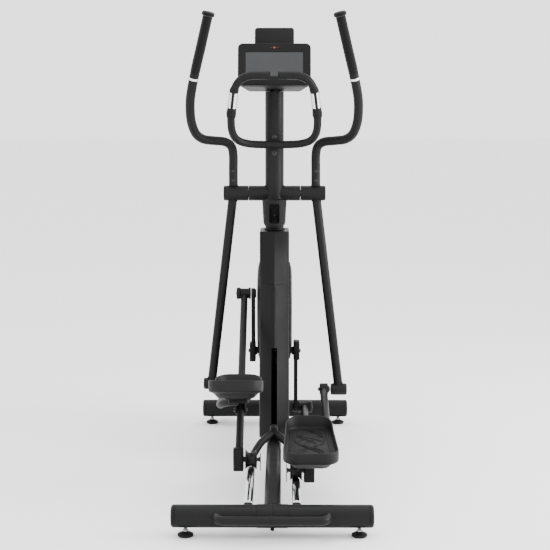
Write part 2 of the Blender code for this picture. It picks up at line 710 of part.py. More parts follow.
def build_casing():
    for side_name, side in SIDES:
        def ring(x, depth, inset):
            return [(side * x, y, z) for y, z in casing_outline(depth, inset)]

        outer = [ring(GAP / 2, 0.0, 0.0), ring(0.030, 0.55, 0.0), ring(CASING_HALF_WIDTH - 0.004, 0.94, 0.0),
                 ring(CASING_HALF_WIDTH, 1.0, 0.004)]
        inner = [ring(GAP / 2, 0.0, CASING_WALL), ring(0.030, 0.55, CASING_WALL),
                 ring(CASING_HALF_WIDTH - 0.004, 0.94, CASING_WALL),
                 ring(CASING_HALF_WIDTH - CASING_WALL, 1.0, CASING_WALL + 0.004)]
        shell = add_object(side_name + "_casing", hollow_from(outer, inner, closed_end=True), "casing_grey")
        hole = bore_tool(side_name + "_mast_hole", (0, SWING_Y, 0.84), (0, 0, 1), MAST_R + 0.0006, 0.1, 24)
        slot = block(side_name + "_slot_tool", (-0.0115, 0.020, 0.150), (0.0115, 0.230, 0.370), "casing_grey")
        door = block(side_name + "_base_tool", (-0.0365, 0.29, 0.110), (0.0365, 0.66, 0.134), "casing_grey")
        centre = (side * 0.05, CRANK_Y, CRANK_Z)
        axle = bore_tool(side_name + "_axle_hole", centre, (1, 0, 0), 0.021, 0.04, 16)
        cut(shell, hole, slot, door, axle)
        rings = []
        for x, share in ((CASING_HALF_WIDTH + GAP, 1.0), (CASING_HALF_WIDTH + 0.007, 0.985),
                         (CASING_HALF_WIDTH + COVER_THICKNESS, 0.86)):
            rings.append([(side * x, 0.425 + 0.135 * share * math.cos(2 * math.pi * k / 28),
                           0.520 + 0.190 * share * math.sin(2 * math.pi * k / 28)) for k in range(28)])
        cover = add_object(side_name + "_side_cover", solid_from(rings), "plastic_black")
        cut(cover, bore_tool(side_name + "_cover_hole", (side * 0.06, CRANK_Y, CRANK_Z), (1, 0, 0), 0.021,
                             0.06, 16))


def build_bottle_holder():
    centre_y = SWING_Y - MAST_R - BOTTLE_R - 0.0007

    def ring(radius, z):
        steps = [2 * math.pi * k / 20 for k in range(20)]
        return [(radius * math.cos(a), centre_y + radius * math.sin(a), z) for a in steps]

    outer = [ring(BOTTLE_R, 0.963), ring(BOTTLE_R - 0.0045, 0.880), ring(BOTTLE_R - 0.009, 0.866),
             ring(BOTTLE_R - 0.016, 0.861)]
    inner = [ring(BOTTLE_R - 0.0028, 0.963), ring(BOTTLE_R - 0.0073, 0.881), ring(BOTTLE_R - 0.011, 0.870),
             ring(BOTTLE_R - 0.017, 0.8645)]
    cup = add_object("bottle_holder", hollow_from(outer, inner, closed_end=True), "plastic_black")
    window = block("bottle_window", (-0.019, centre_y - 0.06, 0.876), (0.019, centre_y - 0.012, 0.950),
                   "plastic_black")
    cut(cup, window)


def face_point(u, v, depth):
    """A point on the console: u across, v up the face from its bottom, depth behind the face."""
    bottom = Vector(CONSOLE_BOTTOM)
    up = (Vector(CONSOLE_TOP) - bottom).normalized()
    back = Vector((up.y, -up.x))
    p = bottom + up * v + back * depth
    return Vector((u, p.x, p.y))


def build_console():
    height = (Vector(CONSOLE_TOP) - Vector(CONSOLE_BOTTOM)).length

    def ring(margin, depth, radius=0.018):
        shape = round_rect(CONSOLE_WIDTH - 2 * margin, height - 2 * margin, radius - margin * 0.5)
        return [face_point(u, v + height / 2, depth) for u, v in shape]

    def back_ring(margin):
        width = CONSOLE_WIDTH * CONSOLE_BACK_SHARE - 2 * margin
        shape = round_rect(width, CONSOLE_BACK_HEIGHT - 2 * margin, 0.022 - margin * 0.5)
        return [Vector((u, CONSOLE_BACK_Y - margin, CONSOLE_BACK_Z + v)) for u, v in shape]

    front = 0.0045
    outer = [ring(0.0, front + GAP), ring(0.0, 0.020), back_ring(0.0)]
    inner = [ring(0.003, front + GAP), ring(0.003, 0.020), back_ring(0.003)]
    add_object("console_rear_shell", hollow_from(outer, inner, closed_end=True), "plastic_black")

    def window_ring(grow, depth):
        shape = round_rect(SCREEN_SIZE[0] + 2 * grow, SCREEN_SIZE[1] + 2 * grow, 0.004)
        return [face_point(u, v + height / 2, depth) for u, v in shape]

    bezel = hollow_from([ring(0.0015, 0.0), ring(0.0, 0.0015), ring(0.0, front)],
                        [window_ring(GAP, depth) for depth in (0.0, 0.0015, front)])
    add_object("console_bezel", bezel, "plastic_black")
    add_object("display_screen", solid_from([window_ring(0.0, 0.0006), window_ring(0.0, front)]),
               "screen_grey")

    def holder_ring(depth):
        shape = round_rect(0.145, 0.100, 0.010, 4)
        return [face_point(u, v + height + 0.0215, depth) for u, v in shape]

    add_object("tablet_holder", solid_from([holder_ring(0.0352), holder_ring(0.0402)]), "plastic_black")
    slot = add_object("tablet_slot_tool", solid_from([holder_ring(0.0349), holder_ring(0.0405)]),
                      "plastic_black")
    cut(bpy.data.objects["console_rear_shell"], slot)


def build_pulse_bar():
    half = [(0.045, 0.3000, 1.1665), (0.096, 0.2860, 1.1700), (0.134, 0.262, 1.183), (0.154, 0.236, 1.212),
            (0.158, 0.205, 1.260), (0.152, 0.178, 1.315), (0.143, 0.152, 1.367), (0.123, 0.135, 1.399),
            (0.092, 0.128, 1.4145), (0.055, 0.126, 1.4165), (0.018, 0.126, 1.4165)]
    route = [(-x, y, z) for x, y, z in reversed(half)] + [(0, 0.3015, 1.1665)] + half
    tube("pulse_handlebar", route, PULSE_R, WALL, 10, "frame_black")
    middle = len(half)
    for side_name, side in SIDES:
        first = middle + 5 if side > 0 else middle - 7
        outer = circles(route, PULSE_SLEEVE_R, 10)[first:first + 3]
        inner = circles(route, PULSE_R + 0.0008, 10)[first:first + 3]
        add_object(side_name + "_pulse_sleeve", hollow_from(outer, inner), "plastic_black")


# ------------------------------------------------------------------ assembly
def build():
    clear_scene()
    build_stabilizers()
    build_spine()
    build_rails()
    build_lift_handle()
    build_core_frame()
    build_mast()
    build_drive()
    for side_name, side in SIDES:
        build_swing(side_name, side)
        build_pedal(side_name, side)
        build_rod(side_name, side)
    build_transport_wheels()
    build_casing()
    build_bottle_holder()
    build_console()
    build_pulse_bar()


build()
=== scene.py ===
import json
import math

import bmesh
import bpy
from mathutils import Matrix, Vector


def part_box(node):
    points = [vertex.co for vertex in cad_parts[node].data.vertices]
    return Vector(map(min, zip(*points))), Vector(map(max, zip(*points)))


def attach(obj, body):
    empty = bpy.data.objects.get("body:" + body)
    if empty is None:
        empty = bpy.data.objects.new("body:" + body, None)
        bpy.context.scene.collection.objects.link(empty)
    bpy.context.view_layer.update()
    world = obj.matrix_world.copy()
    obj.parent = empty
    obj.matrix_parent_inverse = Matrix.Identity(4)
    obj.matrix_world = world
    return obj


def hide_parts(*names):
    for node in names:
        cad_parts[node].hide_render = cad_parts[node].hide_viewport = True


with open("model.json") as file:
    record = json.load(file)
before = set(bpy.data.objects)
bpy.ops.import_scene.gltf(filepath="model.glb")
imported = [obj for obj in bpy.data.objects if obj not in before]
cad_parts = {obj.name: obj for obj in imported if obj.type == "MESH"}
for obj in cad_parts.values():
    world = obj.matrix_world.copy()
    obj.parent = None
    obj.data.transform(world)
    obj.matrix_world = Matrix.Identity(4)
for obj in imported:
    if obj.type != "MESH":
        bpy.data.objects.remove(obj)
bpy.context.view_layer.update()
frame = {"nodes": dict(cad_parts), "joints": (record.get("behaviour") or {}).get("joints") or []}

JOINT = {j["name"]: Vector(j["pos_m"]) for j in frame["joints"]}
# Which hand a piece is for, and the sign of its x
SIDES = (("left", -1.0), ("right", 1.0))
X_AXIS = Vector((1, 0, 0))

# Sizes that the pieces share, in metres
TUBE_R = 0.0172
PULSE_R = 0.0145
ROD_X = 0.116
ROD_R = 0.0132
RAIL_R = 0.014
BEAM_R = 0.035
BEAM_Z = 0.064
SPINE_WIDTH = 0.052
SPINE_HEIGHT = 0.06
SPINE_Z = 0.085
LEG_R = 0.0172
FOOT_TUBE_R = 0.0143
LIFT_R = 0.0138
SLEEVE_R = 0.0166
ARM_X = 0.156
TEE_X = 0.246
WHEEL_X = 0.2
HUB_R = 0.0285
MAST_R = 0.0352
CASING_HALF = 0.0555
SLOT_HALF = 0.0105
SLOT_TOP = 0.421
DISC_Y = 0.425
DISC_Z = 0.52
DISC_HALF_LENGTH = 0.135
DISC_HALF_HEIGHT = 0.19
PEDAL_X = 0.121
PEDAL_LENGTH = 0.376
PEDAL_HEEL = 0.178
PEDAL_TOE = 0.16
PEDAL_BAND = 0.04
PEDAL_SHARE = 0.27
PEDAL_CORNER = 0.05
CORNER_STEPS = 9


# ---- materials
def surface(name, colour, rough, metal=0.0, grain=900.0, bump=0.12, pores=0.0, mottle=0.08,
            rough_spread=0.05, stretch=(1, 1, 1), coat=0.0, sheen=0.0, gloss=0.16):
    """A moulded, painted or metal finish: mottled colour, uneven roughness and a fine raised grain."""
    mat = bpy.data.materials.new(name)
    mat.use_nodes = True
    tree = mat.node_tree
    link = tree.links.new

    def node(kind, **values):
        made = tree.nodes.new("ShaderNode" + kind)
        for socket, value in values.items():
            made.inputs[socket.replace("_", " ")].default_value = value
        return made

    shader = tree.nodes["Principled BSDF"]
    shader.inputs["Metallic"].default_value = metal
    shader.inputs["Specular IOR Level"].default_value = 0.5 if metal else gloss
    shader.inputs["Coat Weight"].default_value = coat
    shader.inputs["Coat Roughness"].default_value = 0.15
    shader.inputs["Sheen Weight"].default_value = sheen
    coords = node("TexCoord")
    scaled = node("Mapping", Scale=stretch)
    link(coords.outputs["Object"], scaled.inputs["Vector"])
    broad = node("TexNoise", Scale=14.0, Detail=6.0)
    link(scaled.outputs["Vector"], broad.inputs["Vector"])
    ramp = node("ValToRGB")
    stops = ramp.color_ramp.elements
    for stop, position, share in ((stops[0], 0.3, 1 - mottle), (stops[1], 0.72, 1 + mottle)):
        stop.position = position
        stop.color = (*[c * share for c in colour], 1)
    link(broad.outputs["Fac"], ramp.inputs["Fac"])
    link(ramp.outputs["Color"], shader.inputs["Base Color"])
    spread = node("MapRange", From_Min=0.3, From_Max=0.7, To_Min=max(0.02, rough - rough_spread),
                  To_Max=min(1.0, rough + rough_spread))
    link(broad.outputs["Fac"], spread.inputs["Value"])
    link(spread.outputs["Result"], shader.inputs["Roughness"])
    fine = node("TexNoise", Scale=grain, Detail=3.0)
    link(scaled.outputs["Vector"], fine.inputs["Vector"])
    height = fine.outputs["Fac"]
    if pores:
        cells = node("TexVoronoi", Scale=pores)
        link(coords.outputs["Object"], cells.inputs["Vector"])
        join = node("Math")
        join.operation = "ADD"
        link(fine.outputs["Fac"], join.inputs[0])
        link(cells.outputs["Distance"], join.inputs[1])
        height = join.outputs["Value"]
    raised = node("Bump", Strength=bump, Distance=0.0006)
    link(height, raised.inputs["Height"])
    link(raised.outputs["Normal"], shader.inputs["Normal"])
    return mat


PAINT = surface("powder_coat", (0.0072, 0.0072, 0.0076), 0.44, gloss=0.12, grain=1100, bump=0.16,
                mottle=0.1)
CASING = surface("casing_plastic", (0.0055, 0.0055, 0.0058), 0.42, gloss=0.09, grain=1300, bump=0.2,
                 pores=900, mottle=0.07, rough_spread=0.06)
PLASTIC = surface("black_plastic", (0.006, 0.006, 0.0063), 0.5, gloss=0.12, grain=1500, bump=0.18,
                  pores=1100)
# Painted shade: a blacker colour that stands in for the shade inside a groove and a seam; the parts it
# covers are frame paint and casing plastic
PAINTED_SHADE = surface("painted_shade", (0.003, 0.003, 0.003), 0.6, grain=900, bump=0.1)
PEDAL = surface("pedal_plastic", (0.007, 0.007, 0.0074), 0.46, grain=1000, bump=0.35, pores=700)
PAD = surface("pad_rubber", (0.0062, 0.0062, 0.0066), 0.62, grain=900, bump=0.35, pores=500)
FOAM = surface("grip_foam", (0.0034, 0.0034, 0.0034), 0.8, gloss=0.08, grain=1400, bump=0.55, pores=900,
               sheen=0.15)
RUBBER = surface("rubber", (0.006, 0.006, 0.006), 0.66, grain=800, bump=0.25, mottle=0.2)
URETHANE = surface("urethane", (0.006, 0.006, 0.006), 0.4, grain=700, bump=0.12)
CHROME = surface("chrome", (0.74, 0.75, 0.77), 0.17, 1.0, grain=600, bump=0.006, mottle=0.04,
                 rough_spread=0.04, stretch=(1, 0.08, 1))
BRIGHT = surface("bright_metal", (0.8, 0.8, 0.8), 0.24, 1.0, grain=900, bump=0.05, mottle=0.05,
                 rough_spread=0.08, stretch=(1, 1, 0.1))
STEEL = surface("steel", (0.36, 0.37, 0.38), 0.32, 1.0, grain=800, bump=0.06, stretch=(0.1, 1, 1))
BLACK_BOLT = surface("blackened_steel", (0.02, 0.02, 0.022), 0.3, 0.6, grain=900, bump=0.1)
CONSOLE = surface("console_face", (0.0075, 0.0075, 0.0079), 0.4, gloss=0.1, grain=1600, bump=0.08,
                  mottle=0.05, rough_spread=0.05)
SCREEN = surface("screen_glass", (0.024, 0.026, 0.0275), 0.26, grain=300, bump=0.005, mottle=0.04,
                 rough_spread=0.06, coat=0.4)
LAMP = surface("indicator_lens", (0.42, 0.015, 0.02), 0.25, grain=800, bump=0.02, coat=0.5)

# The CAD slot that each finish belongs to, unless a piece names another
SLOTS = {PAINT: "frame_paint", CASING: "casing_plastic", PLASTIC: "black_plastic", PEDAL: "pedal_plastic",
         PAD: "pad_rubber", FOAM: "grip_foam", RUBBER: "foot_rubber", URETHANE: "roller_rubber",
         CHROME: "chrome_rail", BRIGHT: "bare_steel", STEEL: "bare_steel", BLACK_BOLT: "bare_steel",
         CONSOLE: "console_plastic", SCREEN: "screen", LAMP: "console_plastic"}


# ---- mesh helpers
def mesh_of(name, bm):
    mesh = bpy.data.meshes.new(name)
    bm.to_mesh(mesh)
    bm.free()
    return mesh


def add_object(name, data):
    obj = bpy.data.objects.new(name, data)
    bpy.context.scene.collection.objects.link(obj)
    return obj


def piece(name, bm, mat, body="frame", replaces=(), slot=None, angle=38):
    """Finish a bmesh as an object that rides on a body."""
    bmesh.ops.recalc_face_normals(bm, faces=bm.faces)
    mesh = mesh_of(name, bm)
    mesh.shade_smooth()
    mesh.set_sharp_from_angle(angle=math.radians(angle))
    mesh.materials.append(mat)
    obj = add_object(name, mesh)
    slot = slot or SLOTS[mat]
    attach(obj, body)
    if replaces:
        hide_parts(*replaces)
    return obj


def circle(sides):
    """The cosine and sine of each point around a circle."""
    return [(math.cos(2 * math.pi * k / sides), math.sin(2 * math.pi * k / sides)) for k in range(sides)]


def axes_of(axis):
    """The unit axis and two directions square to it and to each other."""
    axis = Vector(axis).normalized()
    u = axis.orthogonal().normalized()
    return axis, u, axis.cross(u)


def bridge(bm, a, b):
    """Join two rings of vertices with a band of faces."""
    for i in range(len(a)):
        j = (i + 1) % len(a)
        bm.faces.new((a[i], a[j], b[j], b[i]))


def skin(bm, rings, closed=False):
    """A surface through the rings in order; a closed one also joins the last ring to the first."""
    verts = [[bm.verts.new(p) for p in ring] for ring in rings]
    for a, b in zip(verts, verts[1:] + (verts[:1] if closed else [])):
        bridge(bm, a, b)
    return verts


def cap_ends(bm, verts):
    bm.faces.new(verts[0])
    bm.faces.new(verts[-1])


def solid(rings):
    """A closed body through the rings, with a flat face on each end."""
    bm = bmesh.new()
    cap_ends(bm, skin(bm, rings))
    return bm


def shell(outer, inner, closed_end=False):
    """A wall between an outer and an inner set of rings."""
    bm = bmesh.new()
    out = skin(bm, outer)
    inn = skin(bm, inner)
    bridge(bm, out[0], inn[0])
    if closed_end:
        bm.faces.new(out[-1])
        bm.faces.new(inn[-1])
    else:
        bridge(bm, out[-1], inn[-1])
    return bm


def soften(bm, width, segments=3):
    """Round every edge that turns by more than 30 degrees."""
    bmesh.ops.recalc_face_normals(bm, faces=bm.faces)
    sharp = [e for e in bm.edges if len(e.link_faces) == 2 and e.calc_face_angle(0) > math.radians(30)]
    bmesh.ops.bevel(bm, geom=sharp, offset=width, segments=segments, profile=0.5, affect="EDGES",
                    clamp_overlap=True)
    return bm


def curve_through(points, steps=8):
    """Catmull-Rom curve through the points."""
    pts = [Vector(p) for p in points]
    pts = [pts[0] * 2 - pts[1]] + pts + [pts[-1] * 2 - pts[-2]]
    out = []
    for a, b, c, d in zip(pts, pts[1:], pts[2:], pts[3:]):
        for k in range(steps):
            t = k / steps
            out.append(0.5 * (2 * b + (c - a) * t + (2 * a - 5 * b + 4 * c - d) * t ** 2
                              + (3 * b - 3 * c + d - a) * t ** 3))
    out.append(pts[-2])
    return out


def circles(path, radii, sides):
    """Rings square to a path, kept from twisting along it."""
    path = [Vector(p) for p in path]
    if not isinstance(radii, (list, tuple)):
        radii = [radii] * len(path)
    rings = []
    side = None
    for i, p in enumerate(path):
        ahead = (path[min(i + 1, len(path) - 1)] - path[max(i - 1, 0)]).normalized()
        if side is None:
            side = ahead.orthogonal().normalized()
        side = (side - ahead * side.dot(ahead)).normalized()
        up = ahead.cross(side)
        rings.append([p + side * (radii[i] * c) + up * (radii[i] * s) for c, s in circle(sides)])
    return rings


def pipe(path, radius, sides=28):
    """A round bar along a path, with slightly rounded ends."""
    lip = 0.0012
    path = [Vector(p) for p in path]
    first = (path[1] - path[0]).normalized()
    last = (path[-1] - path[-2]).normalized()
    path = ([path[0] + first * lip * share for share in (0, 0.4, 1)] + path[1:-1]
            + [path[-1] - last * lip * share for share in (1, 0.4, 0)])
    end = [radius - lip, radius - lip * 0.3]
    return solid(circles(path, end + [radius] * (len(path) - 4) + end[::-1], sides))


def lathe(centre, axis, profile, sides=36, bore=None):
    """Turn (radius, along) points about an axis; a bore leaves a hole through the piece."""
    centre = Vector(centre)
    axis, u, v = axes_of(axis)

    def ring(r, h):
        return [centre + axis * h + u * (r * c) + v * (r * s) for c, s in circle(sides)]

    outer = [ring(r, h) for r, h in profile]
    if bore is None:
        return solid(outer)
    return shell(outer, [ring(bore, profile[0][1]), ring(bore, profile[-1][1])])


def rounded(profile, radius=0.0012, steps=3):
    """Replace each inner corner of a (radius, along) profile with a small arc."""
    pts = [Vector(p) for p in profile]
    out = [pts[0]]
    for a, b, c in zip(pts, pts[1:], pts[2:]):
        reach = min(radius, (b - a).length * 0.45, (c - b).length * 0.45)
        start = b + (a - b).normalized() * reach
        end = b + (c - b).normalized() * reach
        for k in range(steps + 1):
            t = k / steps
            out.append(start * (1 - t) ** 2 + b * 2 * t * (1 - t) + end * t ** 2)
    out.append(pts[-1])
    return [tuple(p) for p in out]


def arc(cx, cy, r, start, end, steps):
    """Points along an arc between two angles in degrees."""
    turns = [math.radians(start + (end - start) * k / steps) for k in range(steps + 1)]
    return [(cx + r * math.cos(a), cy + r * math.sin(a)) for a in turns]


def round_rect(w, h, r, steps=8):
    """A rectangle about the origin with rounded corners."""
    out = []
    for sx, sy, start in ((1, 1, 0), (-1, 1, 90), (-1, -1, 180), (1, -1, 270)):
        out += arc(sx * (w / 2 - r), sy * (h / 2 - r), r, start, start + 90, steps)
    return out


def slab(outline, x0, x1, bevel=0.002):
    """A plate with a (y, z) outline between two x values."""
    return soften(solid([[(x, y, z) for y, z in outline] for x in (x0, x1)]), bevel)


def box(low, high, bevel=0.002):
    """A block between two corners, with softened edges."""
    return slab([(low[1], low[2]), (high[1], low[2]), (high[1], high[2]), (low[1], high[2])], low[0],
                high[0], bevel)


def turned(name, centre, axis, points, radius, sides, *finish):
    """A piece turned about an axis from (radius, along) points with rounded corners."""
    piece(name, lathe(centre, axis, rounded(points, radius), sides), *finish)


def socket_bolt(name, centre, axis, radius, body):
    """A round head with a hexagonal socket, standing on a washer."""
    centre = Vector(centre)
    axis, u, v = axes_of(axis)
    sides = 24

    def ring(reach, height, hexagonal=False):
        out = []
        for k in range(sides):
            a = 2 * math.pi * k / sides
            r = reach / math.cos((a % (math.pi / 3)) - math.pi / 6) if hexagonal else reach
            out.append(centre + axis * height + u * (r * math.cos(a)) + v * (r * math.sin(a)))
        return out

    profile = rounded([(radius * 1.45, 0.0), (radius * 1.45, 0.001), (radius * 1.02, 0.0012),
                       (radius, 0.0013), (radius, radius * 0.75), (radius * 0.74, radius * 0.95)], 0.0006)
    rings = [ring(r, h) for r, h in profile]
    rings += [ring(radius * 0.46, radius * 0.93, True), ring(radius * 0.44, radius * 0.3, True)]
    piece(name, solid(rings), BLACK_BOLT, body)


def weld_bead(name, rings, body="frame"):
    bm = bmesh.new()
    skin(bm, rings, closed=True)
    piece(name, bm, PAINT, body)


def weld_ring(name, centre, axis, radius, body, size=0.0022):
    """The rippled bead of a weld around a tube."""
    centre = Vector(centre)
    axis, u, v = axes_of(axis)
    count = 96
    rings = []
    for i in range(count):
        a = 2 * math.pi * i / count
        out = u * math.cos(a) + v * math.sin(a)
        fat = size * (1 + 0.16 * math.sin(a * 30))
        rings.append([centre + out * (radius + fat * c) + axis * (fat * s) for c, s in circle(8)])
    weld_bead(name, rings, body)


def yz(x, p):
    """A point at x whose y and z are those of p."""
    return Vector((x, p[1], p[2]))


# ---- frame
def make_stabilizers():
    for end in ("rear", "front"):
        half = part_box(end + "_stabilizer")[1].x
        y = JOINT["%s_left_leveler_turn" % end].y
        z = BEAM_Z
        r = BEAM_R
        profile = [(r - 0.0012, -half), (r, -half + 0.0012), (r, half - 0.0012), (r - 0.0012, half)]
        piece(end + "_beam", lathe((0, y, z), X_AXIS, profile, 56), PAINT, "frame", [end + "_stabilizer"])
        if end == "rear":
            for index, side in enumerate((-1, 1)):
                start, stop = sorted((side * 0.0015, side * 0.047))
                turned("rear_saddle_%d" % index, (0, y, z), X_AXIS,
                       [(r, start), (r + 0.0011, start + 0.0004), (r + 0.0011, stop - 0.0004), (r, stop)],
                       0.0005, 56, PAINT)
                # Painted shade: a blacker band in the groove beside each saddle; the groove is real, its
                # darkness is painted shade, and the band keeps the frame_paint slot
                start, stop = sorted((side * 0.047, side * 0.0484))
                groove = [(r, start), (r + 0.0007, start + 0.0001), (r + 0.0007, stop - 0.0001), (r, stop)]
                piece("rear_groove_%d" % index, lathe((0, y, z), X_AXIS, groove, 56), PAINTED_SHADE,
                      slot="frame_paint")
        else:
            for hand, side in SIDES:
                x = side * WHEEL_X
                outline = [(y + 0.03, 0.03), (0.765, 0.029)] + arc(0.765, 0.042, 0.013, -90, 90, 10)
                outline += [(y + 0.03, 0.066)]
                piece(hand + "_wheel_fork", slab(outline, x - 0.003, x + 0.003, 0.001), PAINT)
                wheel = JOINT[hand + "_wheel_spin"]
                piece(hand + "_wheel_stub", pipe([yz(x, wheel), yz(side * 0.2255, wheel)], 0.0055, 20),
                      STEEL)
        for hand, side in SIDES:
            centre = (side * (half + 0.0003), y, z)
            cap = rounded([(r - 0.0004, 0.0), (r - 0.0002, 0.001), (r - 0.0002, 0.0075),
                           (r - 0.004, 0.0125), (r * 0.72, 0.0134), (r * 0.7, 0.0126), (0.004, 0.0126)],
                          0.0015)
            piece("%s_%s_cap" % (end, hand), lathe(centre, (side, 0, 0), cap, 56), PLASTIC, "frame",
                  ["%s_%s_end_cap" % (end, hand)])
            make_foot(end, hand)


def make_foot(end, hand):
    body = "%s_%s_leveler" % (end, hand)
    centre = JOINT[body + "_turn"]
    pad = [(0.0205, 0.0), (0.0228, 0.0016), (0.0243, 0.004), (0.0246, 0.0062), (0.024, 0.0085),
           (0.02, 0.0108), (0.013, 0.0128), (0.0105, 0.014), (0.0105, 0.0158), (0.008, 0.0165)]
    piece(body + "_pad", lathe(centre, (0, 0, 1), pad, 44), RUBBER, body, ["%s_%s_foot" % (end, hand)])
    nut = [centre + Vector((0.0095 * c, 0.0095 * s, 0)) for c, s in circle(6)]
    rings = [[p + Vector((0, 0, h)) for p in nut] for h in (0.0168, 0.0216)]
    piece(body + "_nut", soften(solid(rings), 0.0006, 2), STEEL, body)
    thread = [(0.0058 if k % 2 else 0.0051, 0.0216 + 0.00055 * k) for k in range(13)]
    piece(body + "_stem", lathe(centre, (0, 0, 1), thread, 24), STEEL, body)


def make_spine():
    low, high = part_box("frame_spine")
    top = SPINE_Z + SPINE_HEIGHT / 2
    section = round_rect(SPINE_WIDTH, SPINE_HEIGHT, 0.016, 8)
    centre_line = curve_through([(0, low.y - 0.012, 0.0655), (0, -0.63, 0.068), (0, -0.56, 0.0745),
                                 (0, -0.48, 0.081), (0, -0.39, 0.0848), (0, -0.3, SPINE_Z)], 5)
    centre_line += [Vector((0, y, SPINE_Z)) for y in (0.0, 0.3, high.y - 0.002, high.y)]
    rings = [[(u, p.y, p.z + v) for u, v in section] for p in centre_line]
    piece("spine_tube", solid(rings), PAINT, "frame", ["frame_spine"])
    piece("strut_post", box((-0.015, 0.001, top - 0.004), (0.015, 0.033, 0.15), 0.004), PAINT)
    nose = rounded([(0.014, -0.006), (0.014, 0.006), (0.009, 0.0135), (0.003, 0.015)], 0.004, 5)
    piece("post_cap", lathe((0, 0.017, 0.1525), (0, -0.35, 1), nose, 36), PAINT)
    weld_ring("post_weld", (0, 0.017, top + 0.0005), (0, 0, 1), 0.0195, "frame", 0.002)
    for hand, side in SIDES:
        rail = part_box(hand + "_rail")
        x = (rail[0].x + rail[1].x) / 2
        z = (rail[0].z + rail[1].z) / 2
        front = rail[1].y
        route = [(side * 0.004, 0.016, 0.134), (side * 0.024, -0.016, 0.13), (side * 0.048, -0.058, 0.117),
                 (side * 0.068, -0.104, 0.096), (x, -0.134, z), (x, front + 0.0003, z)]
        piece(hand + "_strut", pipe(curve_through(route), 0.0134), PAINT)
        piece(hand + "_slide_rail", pipe([(x, rail[0].y, z), (x, front, z)], RAIL_R, 44), CHROME, "frame",
              [hand + "_rail"])
        turned(hand + "_rail_collar", (x, front + 0.0004, z), (0, 1, 0),
               [(RAIL_R - 0.001, 0), (RAIL_R + 0.0022, 0.0008), (RAIL_R + 0.0022, 0.006),
                (RAIL_R - 0.001, 0.0075)], 0.0008, 36, PAINT)


def make_lift_handle():
    low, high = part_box("rear_lift_handle")
    half = 0.167
    y0 = high.y
    y1 = low.y + 0.0152
    z = (low.z + high.z) / 2 + 0.01
    route = [(half, y0, z), (half, y0 - 0.01, z), (half - 0.004, y0 - 0.026, z),
             (half - 0.016, y1 + 0.002, z), (half - 0.036, y1, z)]
    route = curve_through([(-x, y, q) for x, y, q in route], 6) + curve_through(list(reversed(route)), 6)
    piece("lift_bar", pipe(route, LIFT_R, 28), PAINT, "frame", ["rear_lift_handle"])
    turned("lift_bar_band", (0, y1, z), X_AXIS,
           [(LIFT_R, -0.003), (0.015, -0.0024), (0.015, 0.0024), (LIFT_R, 0.003)], 0.0005, 32, PAINT)
    turned("under_knob", (0, -0.712, 0.03), (0, 0, -1),
           [(0.004, 0), (0.0062, 0.001), (0.0062, 0.006), (0.004, 0.0078)], 0.001, 28, PLASTIC)
    for hand, side in SIDES:
        weld_ring(hand + "_lift_weld", (side * half, y0 - 0.0012, z), (0, 1, 0), 0.014, "frame", 0.0016)


def make_mast():
    low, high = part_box("mast")
    swing = JOINT["left_swing"]
    profile = [(MAST_R, low.z), (MAST_R, high.z)]
    centre = (0, swing.y, 0)
    body = lathe(centre, (0, 0, 1), profile, 64)
    piece("mast_tube", body, PAINT, "frame", ["mast"])
    half = 0.0975
    turned("cross_tube", swing, X_AXIS, [(HUB_R - 0.001, -half), (HUB_R, -half + 0.001),
                                         (HUB_R, half - 0.001), (HUB_R - 0.001, half)], 0.0006, 52, PAINT)
    for hand, side in SIDES:
        weld_saddle(hand + "_cross_weld", swing, side)
    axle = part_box("pivot_axle")
    piece("pivot_shaft", pipe([yz(axle[0].x, swing), yz(axle[1].x, swing)], 0.012, 32), STEEL, "frame",
          ["pivot_axle"])
    rear = swing.y - MAST_R
    for index, z in enumerate((1.194, 1.134)):
        socket_bolt("mast_bolt_%d" % index, (0, rear - 0.0004, z), (0, -1, 0), 0.0064, "frame")


def weld_saddle(name, swing, side):
    """The bead where the cross tube meets the round mast."""
    rings = []
    count = 90
    for i in range(count):
        a = 2 * math.pi * i / count
        dy = HUB_R * math.cos(a)
        dz = HUB_R * math.sin(a)
        x = side * math.sqrt(MAST_R ** 2 - dy ** 2)
        out = Vector((side * 0.6, math.cos(a), math.sin(a))).normalized()
        base = Vector((x, swing.y + dy, swing.z + dz))
        fat = 0.0024 * (1 + 0.15 * math.sin(a * 28))
        rings.append([base + out * (fat * c) + X_AXIS * (side * fat * s) for c, s in circle(8)])
    weld_bead(name, rings)


# ---- drive
def make_cranks():
    centre = JOINT["crank_spin"]
    for hand, side in SIDES:
        pin = pin_of(hand)
        way = Vector((0, pin.y - centre.y, pin.z - centre.z)).normalized()
        across = way.cross(X_AXIS)
        heading = math.degrees(math.atan2(way.z, way.y))
        outline = arc(centre.y, centre.z, 0.0175, heading + 90, heading + 270, 16)
        outline += arc(pin.y, pin.z, 0.0205, heading - 90, heading + 90, 16)
        piece(hand + "_crank_arm", slab(outline, side * 0.0745, side * 0.0895, 0.0032), PAINT, "crank",
              [hand + "_crank"])
        reach = [(-0.04, -0.022), (0.034, -0.022), (0.034, 0.022), (-0.04, 0.022)]
        hub = [tuple((yz(0, centre) + way * a + across * b).yz) for a, b in reach]
        piece(hand + "_crank_hub", slab(hub, side * 0.0725, side * 0.0965, 0.0045), PAINT, "crank")
        turned(hand + "_crank_cone", (side * 0.0655, centre.y, centre.z), (side, 0, 0),
               [(0.0125, 0.0), (0.0165, 0.0035), (0.0165, 0.0075)], 0.001, 36, PAINT, "crank")
        turned(hand + "_crank_eye", yz(side * 0.0702, pin), (side, 0, 0),
               [(0.015, 0), (0.0165, 0.0008), (0.0165, 0.004)], 0.0006, 36, PAINT, "crank")
        socket_bolt(hand + "_crank_bolt", yz(side * 0.0955, centre), (side, 0, 0), 0.0066, "crank")


def pin_of(hand):
    """The crank pin lies on the line from the roller through the pedal pivot."""
    roller = yz(0, JOINT[hand + "_roller_spin"])
    pivot = yz(0, JOINT[hand + "_rod_pivot"])
    return roller + (pivot - roller) / PEDAL_SHARE


